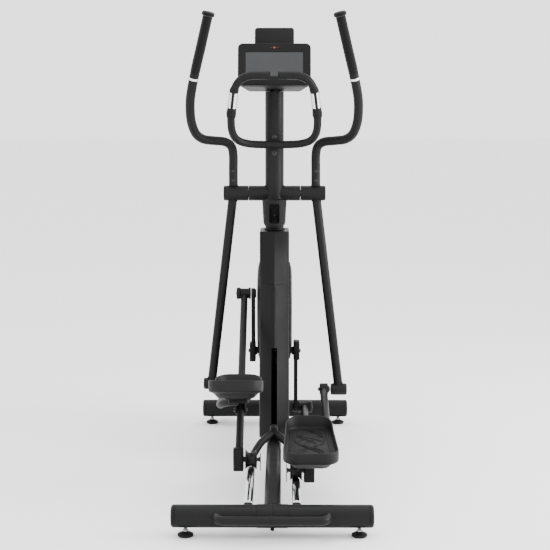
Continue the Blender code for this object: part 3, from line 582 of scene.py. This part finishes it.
def make_rods():
    for hand, side in SIDES:
        body = hand + "_rod"
        pin = pin_of(hand)
        roller = JOINT[hand + "_roller_spin"]
        way = (yz(0, roller) - pin).normalized()
        piece(hand + "_rod_tube", pipe([yz(side * ROD_X, pin) + way * 0.006,
                                        yz(side * ROD_X, roller) - way * 0.004], ROD_R, 32), PAINT, body,
              [hand + "_rod"])
        turned(hand + "_rod_housing", pin, (side, 0, 0),
               [(0.0205, 0.0912), (0.0225, 0.093), (0.0225, 0.099), (0.019, 0.1002), (0.019, 0.13),
                (0.0225, 0.1312), (0.0225, 0.1445), (0.017, 0.1463)], 0.0012, 44, PAINT, body)
        socket_bolt(hand + "_housing_bolt", yz(side * 0.144, pin), (side, 0, 0), 0.005, body)
        outline = [(roller.y + a, roller.z + b) for a, b in round_rect(0.035, 0.079, 0.01, 6)]
        piece(hand + "_rod_end", slab(outline, side * 0.1005, side * 0.1355, 0.004), PAINT, body)
        weld_ring(hand + "_rod_weld", yz(side * ROD_X, pin) + way * 0.02, way, ROD_R, body, 0.0018)
        weld_ring(hand + "_end_weld", yz(side * ROD_X, roller) - way * 0.0225, way, ROD_R, body, 0.0018)
        bolt = pipe([yz(side * 0.0455, roller), yz(side * 0.1005, roller)], 0.006, 24)
        piece(hand + "_roller_bolt", bolt, BLACK_BOLT, body, [hand + "_roller_axle"])
        guard = [(roller.y + a, roller.z - 0.009 + b) for a, b in round_rect(0.024, 0.058, 0.006, 5)]
        piece(hand + "_guard_plate", slab(guard, side * 0.0426, side * 0.0452, 0.0008), PAINT, body)
        nut = [(roller.y + 0.0088 * c, roller.z + 0.0088 * s) for c, s in circle(6)]
        piece(hand + "_guard_nut", slab(nut, side * 0.0455, side * 0.05, 0.0007), BLACK_BOLT, body)
        turned(hand + "_roller_spacer", yz(0, roller), (side, 0, 0),
               [(0.0085, 0.0955), (0.0095, 0.096), (0.0095, 0.1), (0.0085, 0.1005)], 0.0004, 28, BLACK_BOLT,
               body)
        profile = [(0.0305, -0.0195), (0.032, -0.0185), (0.032, -0.0168)]
        for k in range(13):
            a = math.radians(-60 + 10 * k)
            profile.append((0.022 + RAIL_R * (1 - math.cos(a)) * 1.15, 0.0152 * math.sin(a) / 0.866))
        profile += [(0.032, 0.0168), (0.032, 0.0185), (0.0305, 0.0195)]
        piece(hand + "_roller_tread", lathe(roller, X_AXIS, profile, 52, bore=0.0063), URETHANE,
              hand + "_roller", [hand + "_roller"])


# ---- moving arms
HANDLE = ((ARM_X, 0.35, 1.0095), (ARM_X, 0.35, 1.07), (ARM_X, 0.348, 1.128), (0.164, 0.343, 1.16),
          (0.187, 0.331, 1.176), (0.228, 0.307, 1.181), (0.264, 0.282, 1.187), (0.29, 0.256, 1.208),
          (0.304, 0.228, 1.25), (0.3068, 0.205, 1.3), (0.302, 0.182, 1.35), (0.284, 0.154, 1.43),
          (0.262, 0.136, 1.516), (0.236, 0.116, 1.62))
STEPS = 6


def make_arms():
    swing = JOINT["left_swing"]
    for hand, side in SIDES:
        body = hand + "_arm"
        joint = JOINT[hand + "_link_pivot"]
        turned(hand + "_hub", swing, (side, 0, 0),
               [(HUB_R - 0.0012, 0.0988), (HUB_R, 0.1003), (HUB_R, 0.1855), (HUB_R - 0.0006, 0.1862),
                (HUB_R - 0.0006, 0.1872), (HUB_R, 0.188), (HUB_R - 0.001, 0.1915), (HUB_R * 0.8, 0.1934),
                (HUB_R * 0.78, 0.1922), (0.004, 0.1922)], 0.0008, 52, PAINT, body, [hand + "_swing_arm"])
        top = Vector((side * ARM_X, swing.y, swing.z))
        low = yz(side * TEE_X, joint)
        way = (low - top).normalized()
        piece(hand + "_arm_tube", pipe([top + way * 0.012, low - way * 0.008], LEG_R, 36), PAINT, body)
        weld_ring(hand + "_arm_weld", top + way * 0.0275, way, LEG_R, body, 0.002)
        weld_ring(hand + "_tee_weld", low - way * 0.0235, way, LEG_R, body, 0.002)
        turned(hand + "_tee", yz(0, joint), (side, 0, 0),
               [(0.019, 0.215), (0.0216, 0.2155), (0.0216, 0.2205), (0.0225, 0.2212), (0.0225, 0.27),
                (0.0216, 0.2706), (0.0216, 0.2755), (0.0175, 0.277), (0.0165, 0.276), (0.004, 0.276)],
               0.0008, 48, PAINT, body)
        route = [(side * x, y, z) for x, y, z in HANDLE]
        path = curve_through(route, STEPS)
        piece(hand + "_handle_tube", pipe(path, TUBE_R, 32), PAINT, body, [hand + "_handlebar"])
        turned(hand + "_handle_foot", (side * ARM_X, swing.y, swing.z + HUB_R - 0.002), (0, 0, 1),
               [(0.0172, 0.0), (0.0188, 0.0006), (0.0188, 0.003), (0.0172, 0.0045)], 0.0008, 40, PAINT,
               body)
        for index, z in enumerate((1.03, 1.066)):
            socket_bolt("%s_handle_bolt_%d" % (hand, index), (side * ARM_X, swing.y - TUBE_R, z),
                        (0, -1, 0), 0.0042, body)
        make_grip(hand, body, path)


def make_grip(hand, body, path):
    count = 3 * STEPS - 4
    tip = path[-1]
    axis = (tip - path[-2]).normalized()
    grip_path = path[-count:]
    radii = [0.0166, 0.0176] + [0.0179] * (len(grip_path) - 2)
    tail = [(0.003, 0.0179), (0.0045, 0.0196), (0.0062, 0.0226), (0.0085, 0.0234), (0.0125, 0.0235),
            (0.0155, 0.0231), (0.018, 0.0212), (0.02, 0.017), (0.0208, 0.008)]
    for along, radius in tail:
        grip_path = grip_path + [tip + axis * along]
        radii.append(radius)
    piece(hand + "_foam_grip", solid(circles(grip_path, radii, 36)), FOAM, body, [hand + "_grip"])
    ring_path = path[-count - 2:-count + 1]
    middle = ring_path[1]
    way = (ring_path[2] - ring_path[0]).normalized()
    turned(hand + "_bright_ring", middle + way * 0.004, way,
           [(TUBE_R, -0.0045), (TUBE_R + 0.0016, -0.0038), (TUBE_R + 0.0016, 0.0038), (TUBE_R, 0.0045)],
           0.0008, 44, BRIGHT, body)


# ---- pedals
def pedal_axes(hand):
    """The pedal's origin above its pin, and its forward and upward directions."""
    joint = yz(0, JOINT[hand + "_link_pivot"])
    pin = yz(0, JOINT[hand + "_rod_pivot"])
    link = joint - pin
    pitch = math.atan2(link.z, link.y) - math.radians(10.1)
    forward = Vector((0, math.cos(pitch), math.sin(pitch)))
    up = Vector((0, -forward.z, forward.y))
    return pin + up * 0.065, forward, up


def pedal_plan(inset):
    """The pedal's outline, drawn in by the inset."""
    heel = PEDAL_HEEL / 2 - inset
    toe = PEDAL_TOE / 2 - inset
    rear = -PEDAL_LENGTH + inset
    radius = max(PEDAL_CORNER - inset * 0.7, 0.006)
    out = []
    for across, along, start in ((toe, -inset, 0), (-toe, -inset, 90), (-heel, rear, 180),
                                 (heel, rear, 270)):
        cx = across - math.copysign(radius, across)
        cy = along - math.copysign(radius, along + PEDAL_LENGTH / 2)
        out += arc(cx, cy, radius, start, start + 90, CORNER_STEPS)
    return out


def make_pedals():
    for hand, side in SIDES:
        base, forward, up = pedal_axes(hand)
        body = hand + "_footlink"

        def place(across, along, height):
            return base + forward * along + up * height + X_AXIS * (side * PEDAL_X + across)

        def ring(inset, height, rise=0.0):
            out = []
            for across, along in split_long(pedal_plan(inset)):
                share = max(0.0, 1.0 + along / (PEDAL_LENGTH * 0.35))
                out.append(place(across, along, height + rise * share ** 2))
            return out

        outer = [ring(0.036, -0.0178), ring(0.03, -0.0172), ring(0.018, -0.0045), ring(0.0125, -0.0005),
                 ring(0.0045, 0.0015), ring(0.0015, 0.004), ring(0.0002, 0.008), ring(0.0, 0.014),
                 ring(0.0, PEDAL_BAND - 0.003, 0.022), ring(0.0006, PEDAL_BAND - 0.001, 0.022),
                 ring(0.0018, PEDAL_BAND - 0.0002, 0.022), ring(0.0034, PEDAL_BAND - 0.0004, 0.022),
                 ring(0.0046, PEDAL_BAND - 0.0016, 0.022), ring(0.0062, 0.024), ring(0.0078, 0.018),
                 ring(0.01, 0.0162), ring(0.013, 0.016)]
        piece(hand + "_pedal_tray", solid(outer), PEDAL, body, [hand + "_pedal"], angle=50)
        pad = [ring(0.014, 0.0163), ring(0.014, 0.0182), ring(0.0146, 0.019), ring(0.0158, 0.0193)]
        piece(hand + "_tread_pad", solid(pad), PAD, body, [hand + "_pedal_pad"])
        border = [ring(0.025, 0.0192), ring(0.0252, 0.0206), ring(0.0262, 0.0212), ring(0.0272, 0.0206),
                  ring(0.0274, 0.0192)]
        bm = bmesh.new()
        skin(bm, border, closed=True)
        piece(hand + "_pad_border", bm, PAD, body)
        make_tread(hand, body, place)
        make_pedal_arm(hand, side, body, place)


def split_long(plan):
    """Add points between the corners of a plan, so that its rise can bend smoothly."""
    pieces = 14
    out = []
    for i, (a, b) in enumerate(zip(plan, plan[1:] + plan[:1])):
        out.append(a)
        if (i + 1) % (CORNER_STEPS + 1) == 0:
            out += [(a[0] + (b[0] - a[0]) * k / pieces, a[1] + (b[1] - a[1]) * k / pieces)
                    for k in range(1, pieces)]
    return out


def make_tread(hand, body, place):
    """Flowing ribs that cross one another along the pad and give grip."""
    waves = ((0.044, 0.0, 1.5, 0.0), (0.044, math.pi, 1.5, 0.0), (0.03, 0.6, 1.5, 0.012),
             (0.03, 3.7, 1.5, -0.012), (0.05, 1.9, 0.75, 0.0), (0.05, 5.0, 0.75, 0.0))
    bm = bmesh.new()
    for index, (swing, phase, turns, offset) in enumerate(waves):
        rings = []
        count = 72
        top = 0.021 + 0.00008 * index
        for k in range(count + 1):
            t = k / count
            along = -0.188 + (t - 0.5) * 0.3
            angle = 2 * math.pi * turns * t + phase
            across = offset + swing * math.sin(angle)
            slope = swing * 2 * math.pi * turns * math.cos(angle) / 0.3
            half = 0.0011 * math.sqrt(1 + slope * slope)
            rings.append([place(across - half, along, 0.019), place(across - half * 0.5, along, top),
                          place(across + half * 0.5, along, top), place(across + half, along, 0.019)])
        cap_ends(bm, skin(bm, rings))
    piece(hand + "_tread_ribs", bm, PAD, body)


def make_pedal_arm(hand, side, body, place):
    joint = JOINT[hand + "_link_pivot"]
    pin = JOINT[hand + "_rod_pivot"]
    turned(hand + "_arm_lug", yz(0, joint), (side, 0, 0),
           [(0.0185, 0.173), (0.0215, 0.1738), (0.0225, 0.1752), (0.0225, 0.203), (0.0215, 0.2045),
            (0.0185, 0.205)], 0.0012, 48, PAINT, body, [hand + "_pedal_arm"])
    piece(hand + "_link_pin", pipe([yz(side * 0.2045, joint), yz(side * 0.2755, joint)], 0.008, 28), STEEL,
          body)
    turned(hand + "_link_washer", yz(0, joint), (side, 0, 0),
           [(0.012, 0.2052), (0.0128, 0.2056), (0.0128, 0.2094), (0.012, 0.2098)], 0.0004, 32, BLACK_BOLT,
           body)
    socket_bolt(hand + "_lug_bolt", yz(side * 0.1735, joint), (-side, 0, 0), 0.0075, body)
    reach = yz(side * 0.188, joint)
    knee = place(side * 0.067, 0.03, -0.046)
    route = [reach, reach.lerp(knee, 0.45), reach.lerp(knee, 0.86), knee,
             place(side * 0.056, -0.018, -0.041), place(side * 0.032, -0.048, -0.036),
             place(side * 0.005, -0.06, -0.034)]
    piece(hand + "_foot_tube", pipe(curve_through(route), FOOT_TUBE_R, 30), PAINT, body)
    way = (reach - knee).normalized()
    weld_ring(hand + "_lug_weld", reach - way * 0.0235, way, FOOT_TUBE_R, body, 0.0018)
    plan = round_rect(0.068, 0.108, 0.008, 5)
    rings = [[place(u, v - 0.056, h) for u, v in plan] for h in (-0.0395, -0.025)]
    piece(hand + "_carrier", soften(solid(rings), 0.0025), PAINT, body)
    flange = round_rect(0.092, 0.15, 0.014, 6)
    rings = [[place(u, v - 0.08, h) for u, v in flange] for h in (-0.0249, -0.0184)]
    piece(hand + "_carrier_flange", soften(solid(rings), 0.0018), PEDAL, body)
    for index, (u, v) in enumerate(((-0.038, -0.02), (0.038, -0.02), (-0.038, -0.14), (0.038, -0.14))):
        down = place(u, v, -0.026) - place(u, v, -0.0249)
        socket_bolt("%s_carrier_bolt_%d" % (hand, index), place(u, v, -0.0249), down, 0.0038, body)
    base, forward, up = pedal_axes(hand)
    for index, offset in enumerate((-1, 1)):
        x0 = side * ROD_X + offset * 0.0137
        heading = math.degrees(math.atan2(forward.z, forward.y))
        outline = arc(pin.y, pin.z, 0.0145, 195 + heading, 345 + heading, 14)
        top = base + up * -0.03
        outline += [tuple((top + forward * 0.017).yz), tuple((top - forward * 0.026).yz)]
        piece("%s_saddle_%d" % (hand, index), slab(outline, x0, x0 + offset * 0.005, 0.0012), PAINT, body)
        socket_bolt("%s_saddle_bolt_%d" % (hand, index), yz(x0 + offset * 0.005, pin), (offset, 0, 0),
                    0.006, body)


# ---- covers
def casing_plan(depth, inset):
    """Side outline (y, z) of the casing; depth is 0 on the centre seam and 1 on the flat side."""
    rear = 0.05 * depth
    front = [(0.628, 0.091), (0.664, 0.113), (0.69, 0.16), (0.708, 0.23), (0.702, 0.33), (0.676, 0.43),
             (0.63, 0.53), (0.57, 0.64), (0.51, 0.74), (0.462, 0.818), (0.435, 0.843)]
    bow = [(p.x, p.y) for p in curve_through([(y, z, 0) for y, z in front], 4)]
    top = [(0.268 + rear * 0.3, 0.843)]
    back = [(0.258 + rear * 0.45, 0.8), (0.248 + rear * 0.6, 0.76), (0.21 + rear, 0.64),
            (0.181 + rear, 0.52), (0.15 + rear, 0.4), (0.107 + rear, 0.28), (0.062 + rear, 0.16)]
    foot = [(0.054 + rear, 0.111), (0.058 + rear, 0.101), (0.068 + rear, 0.093), (0.08 + rear, 0.091)]
    points = foot + bow + top + back
    out = []
    count = len(points)
    for i in range(count):
        p = Vector(points[i])
        before = (p - Vector(points[i - 1])).normalized()
        after = (Vector(points[(i + 1) % count]) - p).normalized()
        bisector = Vector((-before.y, before.x)) + Vector((-after.y, after.x))
        out.append(tuple(p + bisector * (2 * inset / max(bisector.length_squared, 0.5))))
    return out


def cutter(name, bm):
    """A tool that carve takes away again."""
    bmesh.ops.recalc_face_normals(bm, faces=bm.faces)
    return add_object(name, mesh_of(name, bm))


def carve(obj, *tools):
    """Cut the tools out of a piece for good, and remove them."""
    for tool in tools:
        modifier = obj.modifiers.new("cut", "BOOLEAN")
        modifier.operation = "DIFFERENCE"
        modifier.solver = "EXACT"
        modifier.object = tool
    bpy.context.view_layer.update()
    graph = bpy.context.evaluated_depsgraph_get()
    mesh = bpy.data.meshes.new_from_object(obj.evaluated_get(graph))
    obj.modifiers.clear()
    obj.data = mesh
    mesh.shade_smooth()
    mesh.set_sharp_from_angle(angle=math.radians(32))
    for tool in tools:
        bpy.data.objects.remove(tool)


def casing_cuts():
    """Tools for the mast hole, the rear slot and the way of the spine through the casing."""
    hole = [(MAST_R + 0.0008, 0), (MAST_R + 0.0008, 0.1)]
    return (cutter("mast_hole", lathe((0, JOINT["left_swing"].y, 0.79), (0, 0, 1), hole, 64)),
            cutter("slot", box((-SLOT_HALF, 0.02, 0.08), (SLOT_HALF, 0.23, SLOT_TOP), 0.001)),
            cutter("spine_way", box((-0.0285, 0.02, 0.08), (0.0285, 0.76, 0.1195), 0.001)))


def make_casing():
    swing = JOINT["left_swing"]
    crank = JOINT["crank_spin"]
    for hand, side in SIDES:
        def ring(x, depth, inset):
            return [(side * x, y, z) for y, z in casing_plan(depth, inset)]

        outer = [ring(0.00015, 0.0, 0.0004), ring(0.0006, 0.01, 0.0), ring(0.014, 0.24, 0.0),
                 ring(0.03, 0.52, 0.0), ring(0.0485, 0.86, 0.0), ring(0.052, 0.93, 0.0008),
                 ring(0.0545, 0.98, 0.0026), ring(CASING_HALF, 1.0, 0.0055)]
        inner = [ring(0.00015, 0.0, 0.003), ring(0.03, 0.52, 0.003), ring(0.0485, 0.86, 0.0032),
                 ring(0.0525, 1.0, 0.008)]
        half = piece(hand + "_casing_half", shell(outer, inner, closed_end=True), CASING, "frame",
                     [hand + "_casing"], angle=32)
        carve(half, *casing_cuts(),
              cutter("base", box((-0.0365, 0.29, 0.11), (0.0365, 0.66, 0.134), 0.001)),
              cutter("axle_hole", lathe((side * 0.03, crank.y, crank.z), (side, 0, 0),
                                        [(0.021, 0), (0.021, 0.06)], 40)),
              cutter("facet_seam", box((side * 0.02 - 0.0195, 0.15, 0.6485),
                                       (side * 0.02 + 0.0195, 0.243, 0.6496), 0.0001)))
        make_side_cover(hand, side, crank)
    # Painted shade: a blacker sheet set inside the centre seam between the casing halves; the seam is real,
    # its darkness is painted shade, and the sheet keeps the casing_plastic slot
    outer, inner = [[[(x, y, z) for y, z in casing_plan(0.0, inset)] for x in (-0.0009, 0.0009)]
                    for inset in (0.0016, 0.0045)]
    seam_shade = piece("casing_seam_shade", shell(outer, inner), PAINTED_SHADE, slot="casing_plastic")
    carve(seam_shade, *casing_cuts())
    collar = rounded([(MAST_R + 0.0002, 0.0), (MAST_R + 0.0045, 0.0006), (MAST_R + 0.0045, 0.0045),
                      (MAST_R + 0.0018, 0.0075), (MAST_R + 0.0002, 0.0078)], 0.001)
    piece("mast_collar", lathe((0, swing.y, 0.8435), (0, 0, 1), collar, 64, bore=MAST_R + 0.0001), PLASTIC)


def make_side_cover(hand, side, crank):
    rings = []
    stations = ((0.0003, 1.0), (0.0035, 1.0), (0.005, 0.992), (0.0056, 0.975), (0.005, 0.962),
                (0.0052, 0.95), (0.0072, 0.938), (0.009, 0.9), (0.0105, 0.84), (0.0115, 0.74),
                (0.0119, 0.6), (0.012, 0.4))
    for rise, share in stations:
        rings.append([(side * (CASING_HALF + rise), DISC_Y + DISC_HALF_LENGTH * share * c,
                       DISC_Z + DISC_HALF_HEIGHT * share * s) for c, s in circle(96)])
    cover = piece(hand + "_disc_cover", solid(rings), CASING, "frame", [hand + "_side_cover"], angle=40)
    carve(cover, cutter("cover_hole", lathe((side * 0.04, crank.y, crank.z), (side, 0, 0),
                                            [(0.021, 0), (0.021, 0.05)], 40)))


def make_bottle_holder():
    low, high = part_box("bottle_holder")
    cy = (low.y + high.y) / 2

    def ring(radius, z):
        return [(radius * c, cy + radius * s, z) for c, s in circle(56)]

    outer = [ring(0.0453, 0.963), ring(0.0461, 0.9624), ring(0.0463, 0.9606), ring(0.0456, 0.956),
             ring(0.0418, 0.88), ring(0.04, 0.872), ring(0.036, 0.866), ring(0.03, 0.8615)]
    inner = [ring(0.0443, 0.963), ring(0.0435, 0.9622), ring(0.043, 0.956), ring(0.0392, 0.881),
             ring(0.0365, 0.8745), ring(0.029, 0.865)]
    cup = piece("bottle_cup", shell(outer, inner, closed_end=True), PLASTIC, "frame", ["bottle_holder"])
    window = [[(u, y, 0.9135 + v) for u, v in round_rect(0.038, 0.074, 0.007, 6)]
              for y in (cy - 0.06, cy - 0.015)]
    carve(cup, cutter("window", solid(window)))
    for index, z in enumerate((0.945, 0.9)):
        socket_bolt("cup_screw_%d" % index, (0, cy + 0.035 + 0.0004 * index, z), (0, -1, 0), 0.0032,
                    "frame")
    bracket = box((-0.012, high.y - 0.004, 0.872), (0.012, high.y + 0.003, 0.955), 0.001)
    piece("cup_bracket", bracket, PLASTIC)


# ---- console
FACE_LOW = Vector((0, 0.212, 1.3835))
FACE_HIGH = Vector((0, 0.255, 1.537))
FACE_WIDTH = 0.267


def on_face(u, v, depth):
    """A point u across and v up the console's face, this far behind it."""
    up = (FACE_HIGH - FACE_LOW).normalized()
    back = Vector((0, up.z, -up.y))
    return FACE_LOW + up * v + back * depth + X_AXIS * u


def make_console():
    height = (FACE_HIGH - FACE_LOW).length

    def ring(margin, depth):
        return [on_face(u, v + height / 2, depth) for u,
                v in round_rect(FACE_WIDTH - 2 * margin, height - 2 * margin, 0.018 - margin * 0.5, 10)]

    def back_ring(share, margin):
        shape = round_rect(FACE_WIDTH * 0.86 - 2 * margin, 0.12 - 2 * margin, 0.026 - margin * 0.3, 10)
        return [Vector((u, 0.39 - share, 1.4235 + v)) for u, v in shape]

    mid = [[a.lerp(b, t) for a, b in zip(ring(0.0, 0.02), back_ring(0.008, 0.0))]
           for t in (0.12, 0.3, 0.5, 0.7, 0.88)]
    outer = [ring(0.0015, 0.0048), ring(0.0003, 0.0056), ring(0.0, 0.008),
             ring(0.0, 0.02)] + mid + [back_ring(0.008, 0.0), back_ring(0.003, 0.0015),
                                       back_ring(0.0005, 0.0045), back_ring(0.0, 0.0085)]
    piece("console_housing", solid(outer), PLASTIC, "frame", ["console_rear_shell"], angle=45)
    window_w = 0.2105
    window_h = 0.091

    def window(grow, depth):
        return [on_face(u, v + height / 2, depth) for u,
                v in round_rect(window_w + 2 * grow, window_h + 2 * grow, 0.004, 10)]

    face = [ring(0.0, 0.0045), ring(0.0, 0.0022), ring(0.0006, 0.0009), ring(0.002, 0.0001),
            ring(0.0036, 0.0)]
    well = [window(0.0003, 0.0045), window(0.0003, 0.001), window(0.0006, 0.0003), window(0.0014, 0.0)]
    piece("console_face_frame", shell(face, well), CONSOLE, "frame", ["console_bezel"], angle=45)
    glass = [window(0.0, 0.0044), window(0.0, 0.0012), window(-0.0004, 0.0008), window(-0.0012, 0.0007)]
    piece("display_glass", solid(glass), SCREEN, "frame", ["display_screen"], angle=45)
    lamp_v = height - 0.0165
    lens = rounded([(0.0034, -0.0005), (0.0034, 0.0004), (0.0022, 0.001), (0.0006, 0.0012)], 0.0005)
    up = (FACE_HIGH - FACE_LOW).normalized()
    outward = Vector((0, -up.z, up.y))
    piece("power_lamp", lathe(on_face(0, lamp_v, 0.0), outward, lens, 32), LAMP)
    for index, side in enumerate((-1, 1)):
        slit = [[on_face(side * 0.0115 + u, lamp_v + v, d) for u, v in round_rect(0.01, 0.0014, 0.0006, 3)]
                for d in (0.001, -0.0004)]
        piece("lamp_mark_%d" % index, solid(slit), SCREEN)

    def rest(margin, depth):
        return [on_face(u, v + height + 0.0215, depth) for u,
                v in round_rect(0.145 - 2 * margin, 0.1 - 2 * margin, 0.01, 8)]

    plate = [rest(0.0012, 0.0352), rest(0.0003, 0.0357), rest(0.0, 0.0366), rest(0.0, 0.0388),
             rest(0.0003, 0.0397), rest(0.0012, 0.0402)]
    piece("tablet_rest", solid(plate), PLASTIC, "frame", ["tablet_holder"], angle=45)
    lip = [[on_face(u, v + height + 0.0005, d) for u, v in round_rect(0.156, 0.006, 0.0028, 6)]
           for d in (0.03, 0.0445)]
    piece("tablet_slot_rim", soften(solid(lip), 0.001), PLASTIC)


PULSE_HALF = ((0.045, 0.3, 1.1665), (0.096, 0.286, 1.17), (0.134, 0.262, 1.183), (0.154, 0.236, 1.212),
              (0.158, 0.205, 1.26), (0.152, 0.178, 1.315), (0.143, 0.152, 1.367), (0.123, 0.135, 1.399),
              (0.092, 0.128, 1.4145), (0.055, 0.126, 1.4165), (0.018, 0.126, 1.4165))


def make_pulse_bar():
    steps = 6
    route = [(-x, y, z) for x, y, z in reversed(PULSE_HALF)] + [(0, 0.3015, 1.1665)] + list(PULSE_HALF)
    path = curve_through(route, steps)
    piece("pulse_bar", pipe(path, PULSE_R, 30), PAINT, "frame", ["pulse_handlebar"])
    middle = len(PULSE_HALF) * steps
    for hand, side in SIDES:
        start = middle + int(side) * int(5.2 * steps)
        stop = middle + int(side) * int(7.2 * steps)
        run = path[min(start, stop):max(start, stop) + 1]
        radii = [SLEEVE_R] * len(run)
        radii[0] = radii[-1] = 0.0148
        lower = run[:4] if side > 0 else list(reversed(run[-4:]))
        piece(hand + "_sensor_sleeve", solid(circles(run, radii, 32)), PLASTIC, "frame",
              [hand + "_pulse_sleeve"])
        collar = circles(lower, [SLEEVE_R, 0.018, 0.018, SLEEVE_R], 32)
        piece(hand + "_sleeve_collar", solid(collar), PLASTIC)
        make_contacts(hand, run[4:-2] if side > 0 else run[2:-4])
        end = Vector(route[-1] if side > 0 else route[0])
        turned(hand + "_bar_plug", end, (-side, 0, 0),
               [(PULSE_R - 0.001, 0), (PULSE_R - 0.0002, 0.0006), (PULSE_R - 0.0004, 0.003),
                (PULSE_R - 0.004, 0.0042), (0.001, 0.0044)], 0.0008, 32, PLASTIC)


def make_contacts(hand, run):
    """Two bright strips along each sleeve, one either side of a dark stripe facing the user."""
    for index, centre_angle in enumerate((-42, 42)):
        rings = []
        for i, p in enumerate(run):
            ahead = (run[min(i + 1, len(run) - 1)] - run[max(i - 1, 0)]).normalized()
            towards = Vector((0, -1, 0)) - ahead * Vector((0, -1, 0)).dot(ahead)
            towards.normalize()
            across = ahead.cross(towards)
            ring = []
            for radius, spread in ((0.0164, (-26, -13, 0, 13, 26)), (0.0176, (24, 12, 0, -12, -24))):
                for a in spread:
                    t = math.radians(centre_angle + a)
                    ring.append(p + towards * (radius * math.cos(t)) + across * (radius * math.sin(t)))
            rings.append(ring)
        piece("%s_contact_%d" % (hand, index), solid(rings), BRIGHT)


# ---- pieces kept from the CAD
def finish_inner_parts():
    kept = {"core_frame": PAINT, "crank_axle": BLACK_BOLT, "drive_pulley": PLASTIC, "flywheel": BLACK_BOLT,
            "flywheel_axle": STEEL, "idler_pulley": PLASTIC, "brake_magnet": STEEL, "drive_belt": RUBBER,
            "left_crank_bearing": BLACK_BOLT, "right_crank_bearing": BLACK_BOLT}
    for node, mat in kept.items():
        mesh = frame["nodes"][node].data
        mesh.materials.clear()
        mesh.materials.append(mat)


def make_transport_wheels():
    for hand in ("left", "right"):
        centre = JOINT[hand + "_wheel_spin"]
        tread = rounded([(0.019, -0.008), (0.022, -0.0078), (0.0238, -0.006), (0.0239, 0.006),
                         (0.022, 0.0078), (0.019, 0.008)], 0.0012)
        piece(hand + "_wheel_tread", lathe(centre, X_AXIS, tread, 44, bore=0.015), RUBBER, hand + "_wheel",
              [hand + "_transport_wheel"], slot="roller_rubber")
        hub = rounded([(0.015, -0.0066), (0.0149, -0.005), (0.0149, 0.005), (0.015, 0.0066)], 0.0004)
        piece(hand + "_wheel_hub", lathe(centre, X_AXIS, hub, 36, bore=0.0063), PLASTIC, hand + "_wheel",
              slot="roller_rubber")


# ---- studio
def make_studio():
    bm = bmesh.new()
    reach = 60.0
    rows = [[bm.verts.new((x, y, -0.0002)) for x in (-reach, reach)] for y in (-reach, reach)]
    bm.faces.new((rows[0][0], rows[0][1], rows[1][1], rows[1][0]))
    floor = add_object("studio_floor", mesh_of("studio_floor", bm))
    mat = bpy.data.materials.new("studio_paper")
    mat.use_nodes = True
    shader = mat.node_tree.nodes["Principled BSDF"]
    shader.inputs["Base Color"].default_value = (0.95, 0.95, 0.95, 1)
    shader.inputs["Roughness"].default_value = 0.9
    shader.inputs["Specular IOR Level"].default_value = 0.1
    floor.data.materials.append(mat)
    world = bpy.data.worlds.new("studio")
    world.use_nodes = True
    background = world.node_tree.nodes["Background"]
    background.inputs["Color"].default_value = (1.0, 1.0, 1.0, 1)
    background.inputs["Strength"].default_value = 2.3
    bpy.context.scene.world = world
    area_light("key", (3.2, -0.7, 1.7), (0, 0.2, 0.8), 1.8, 150)
    area_light("fill", (-2.8, -3.4, 2.6), (0, 0.2, 0.7), 1.6, 25)
    area_light("overhead", (0, -0.6, 5.0), (0, -0.4, 0.0), 4.0, 60)


def area_light(name, place, aim, size, power):
    data = bpy.data.lights.new(name, "AREA")
    data.shape = "SQUARE"
    data.size = size
    data.energy = power
    obj = add_object(name, data)
    obj.location = place
    obj.rotation_euler = (Vector(aim) - Vector(place)).to_track_quat("-Z", "Y").to_euler()


def make_camera():
    data = bpy.data.cameras.new("camera")
    tilt_down = 7.445
    turn = 0.343
    data.lens = 81.5
    data.sensor_width = 36
    obj = add_object("camera", data)
    obj.location = (0.03, -4.373, 1.286)
    obj.rotation_euler = (math.radians(90 - tilt_down), 0, math.radians(turn))
    bpy.context.scene.camera = obj


make_camera()
make_studio()
make_stabilizers()
make_spine()
make_lift_handle()
make_mast()
make_cranks()
make_rods()
make_arms()
make_pedals()
make_casing()
make_bottle_holder()
make_console()
make_pulse_bar()
make_transport_wheels()
finish_inner_parts()

bpy.context.view_layer.update()
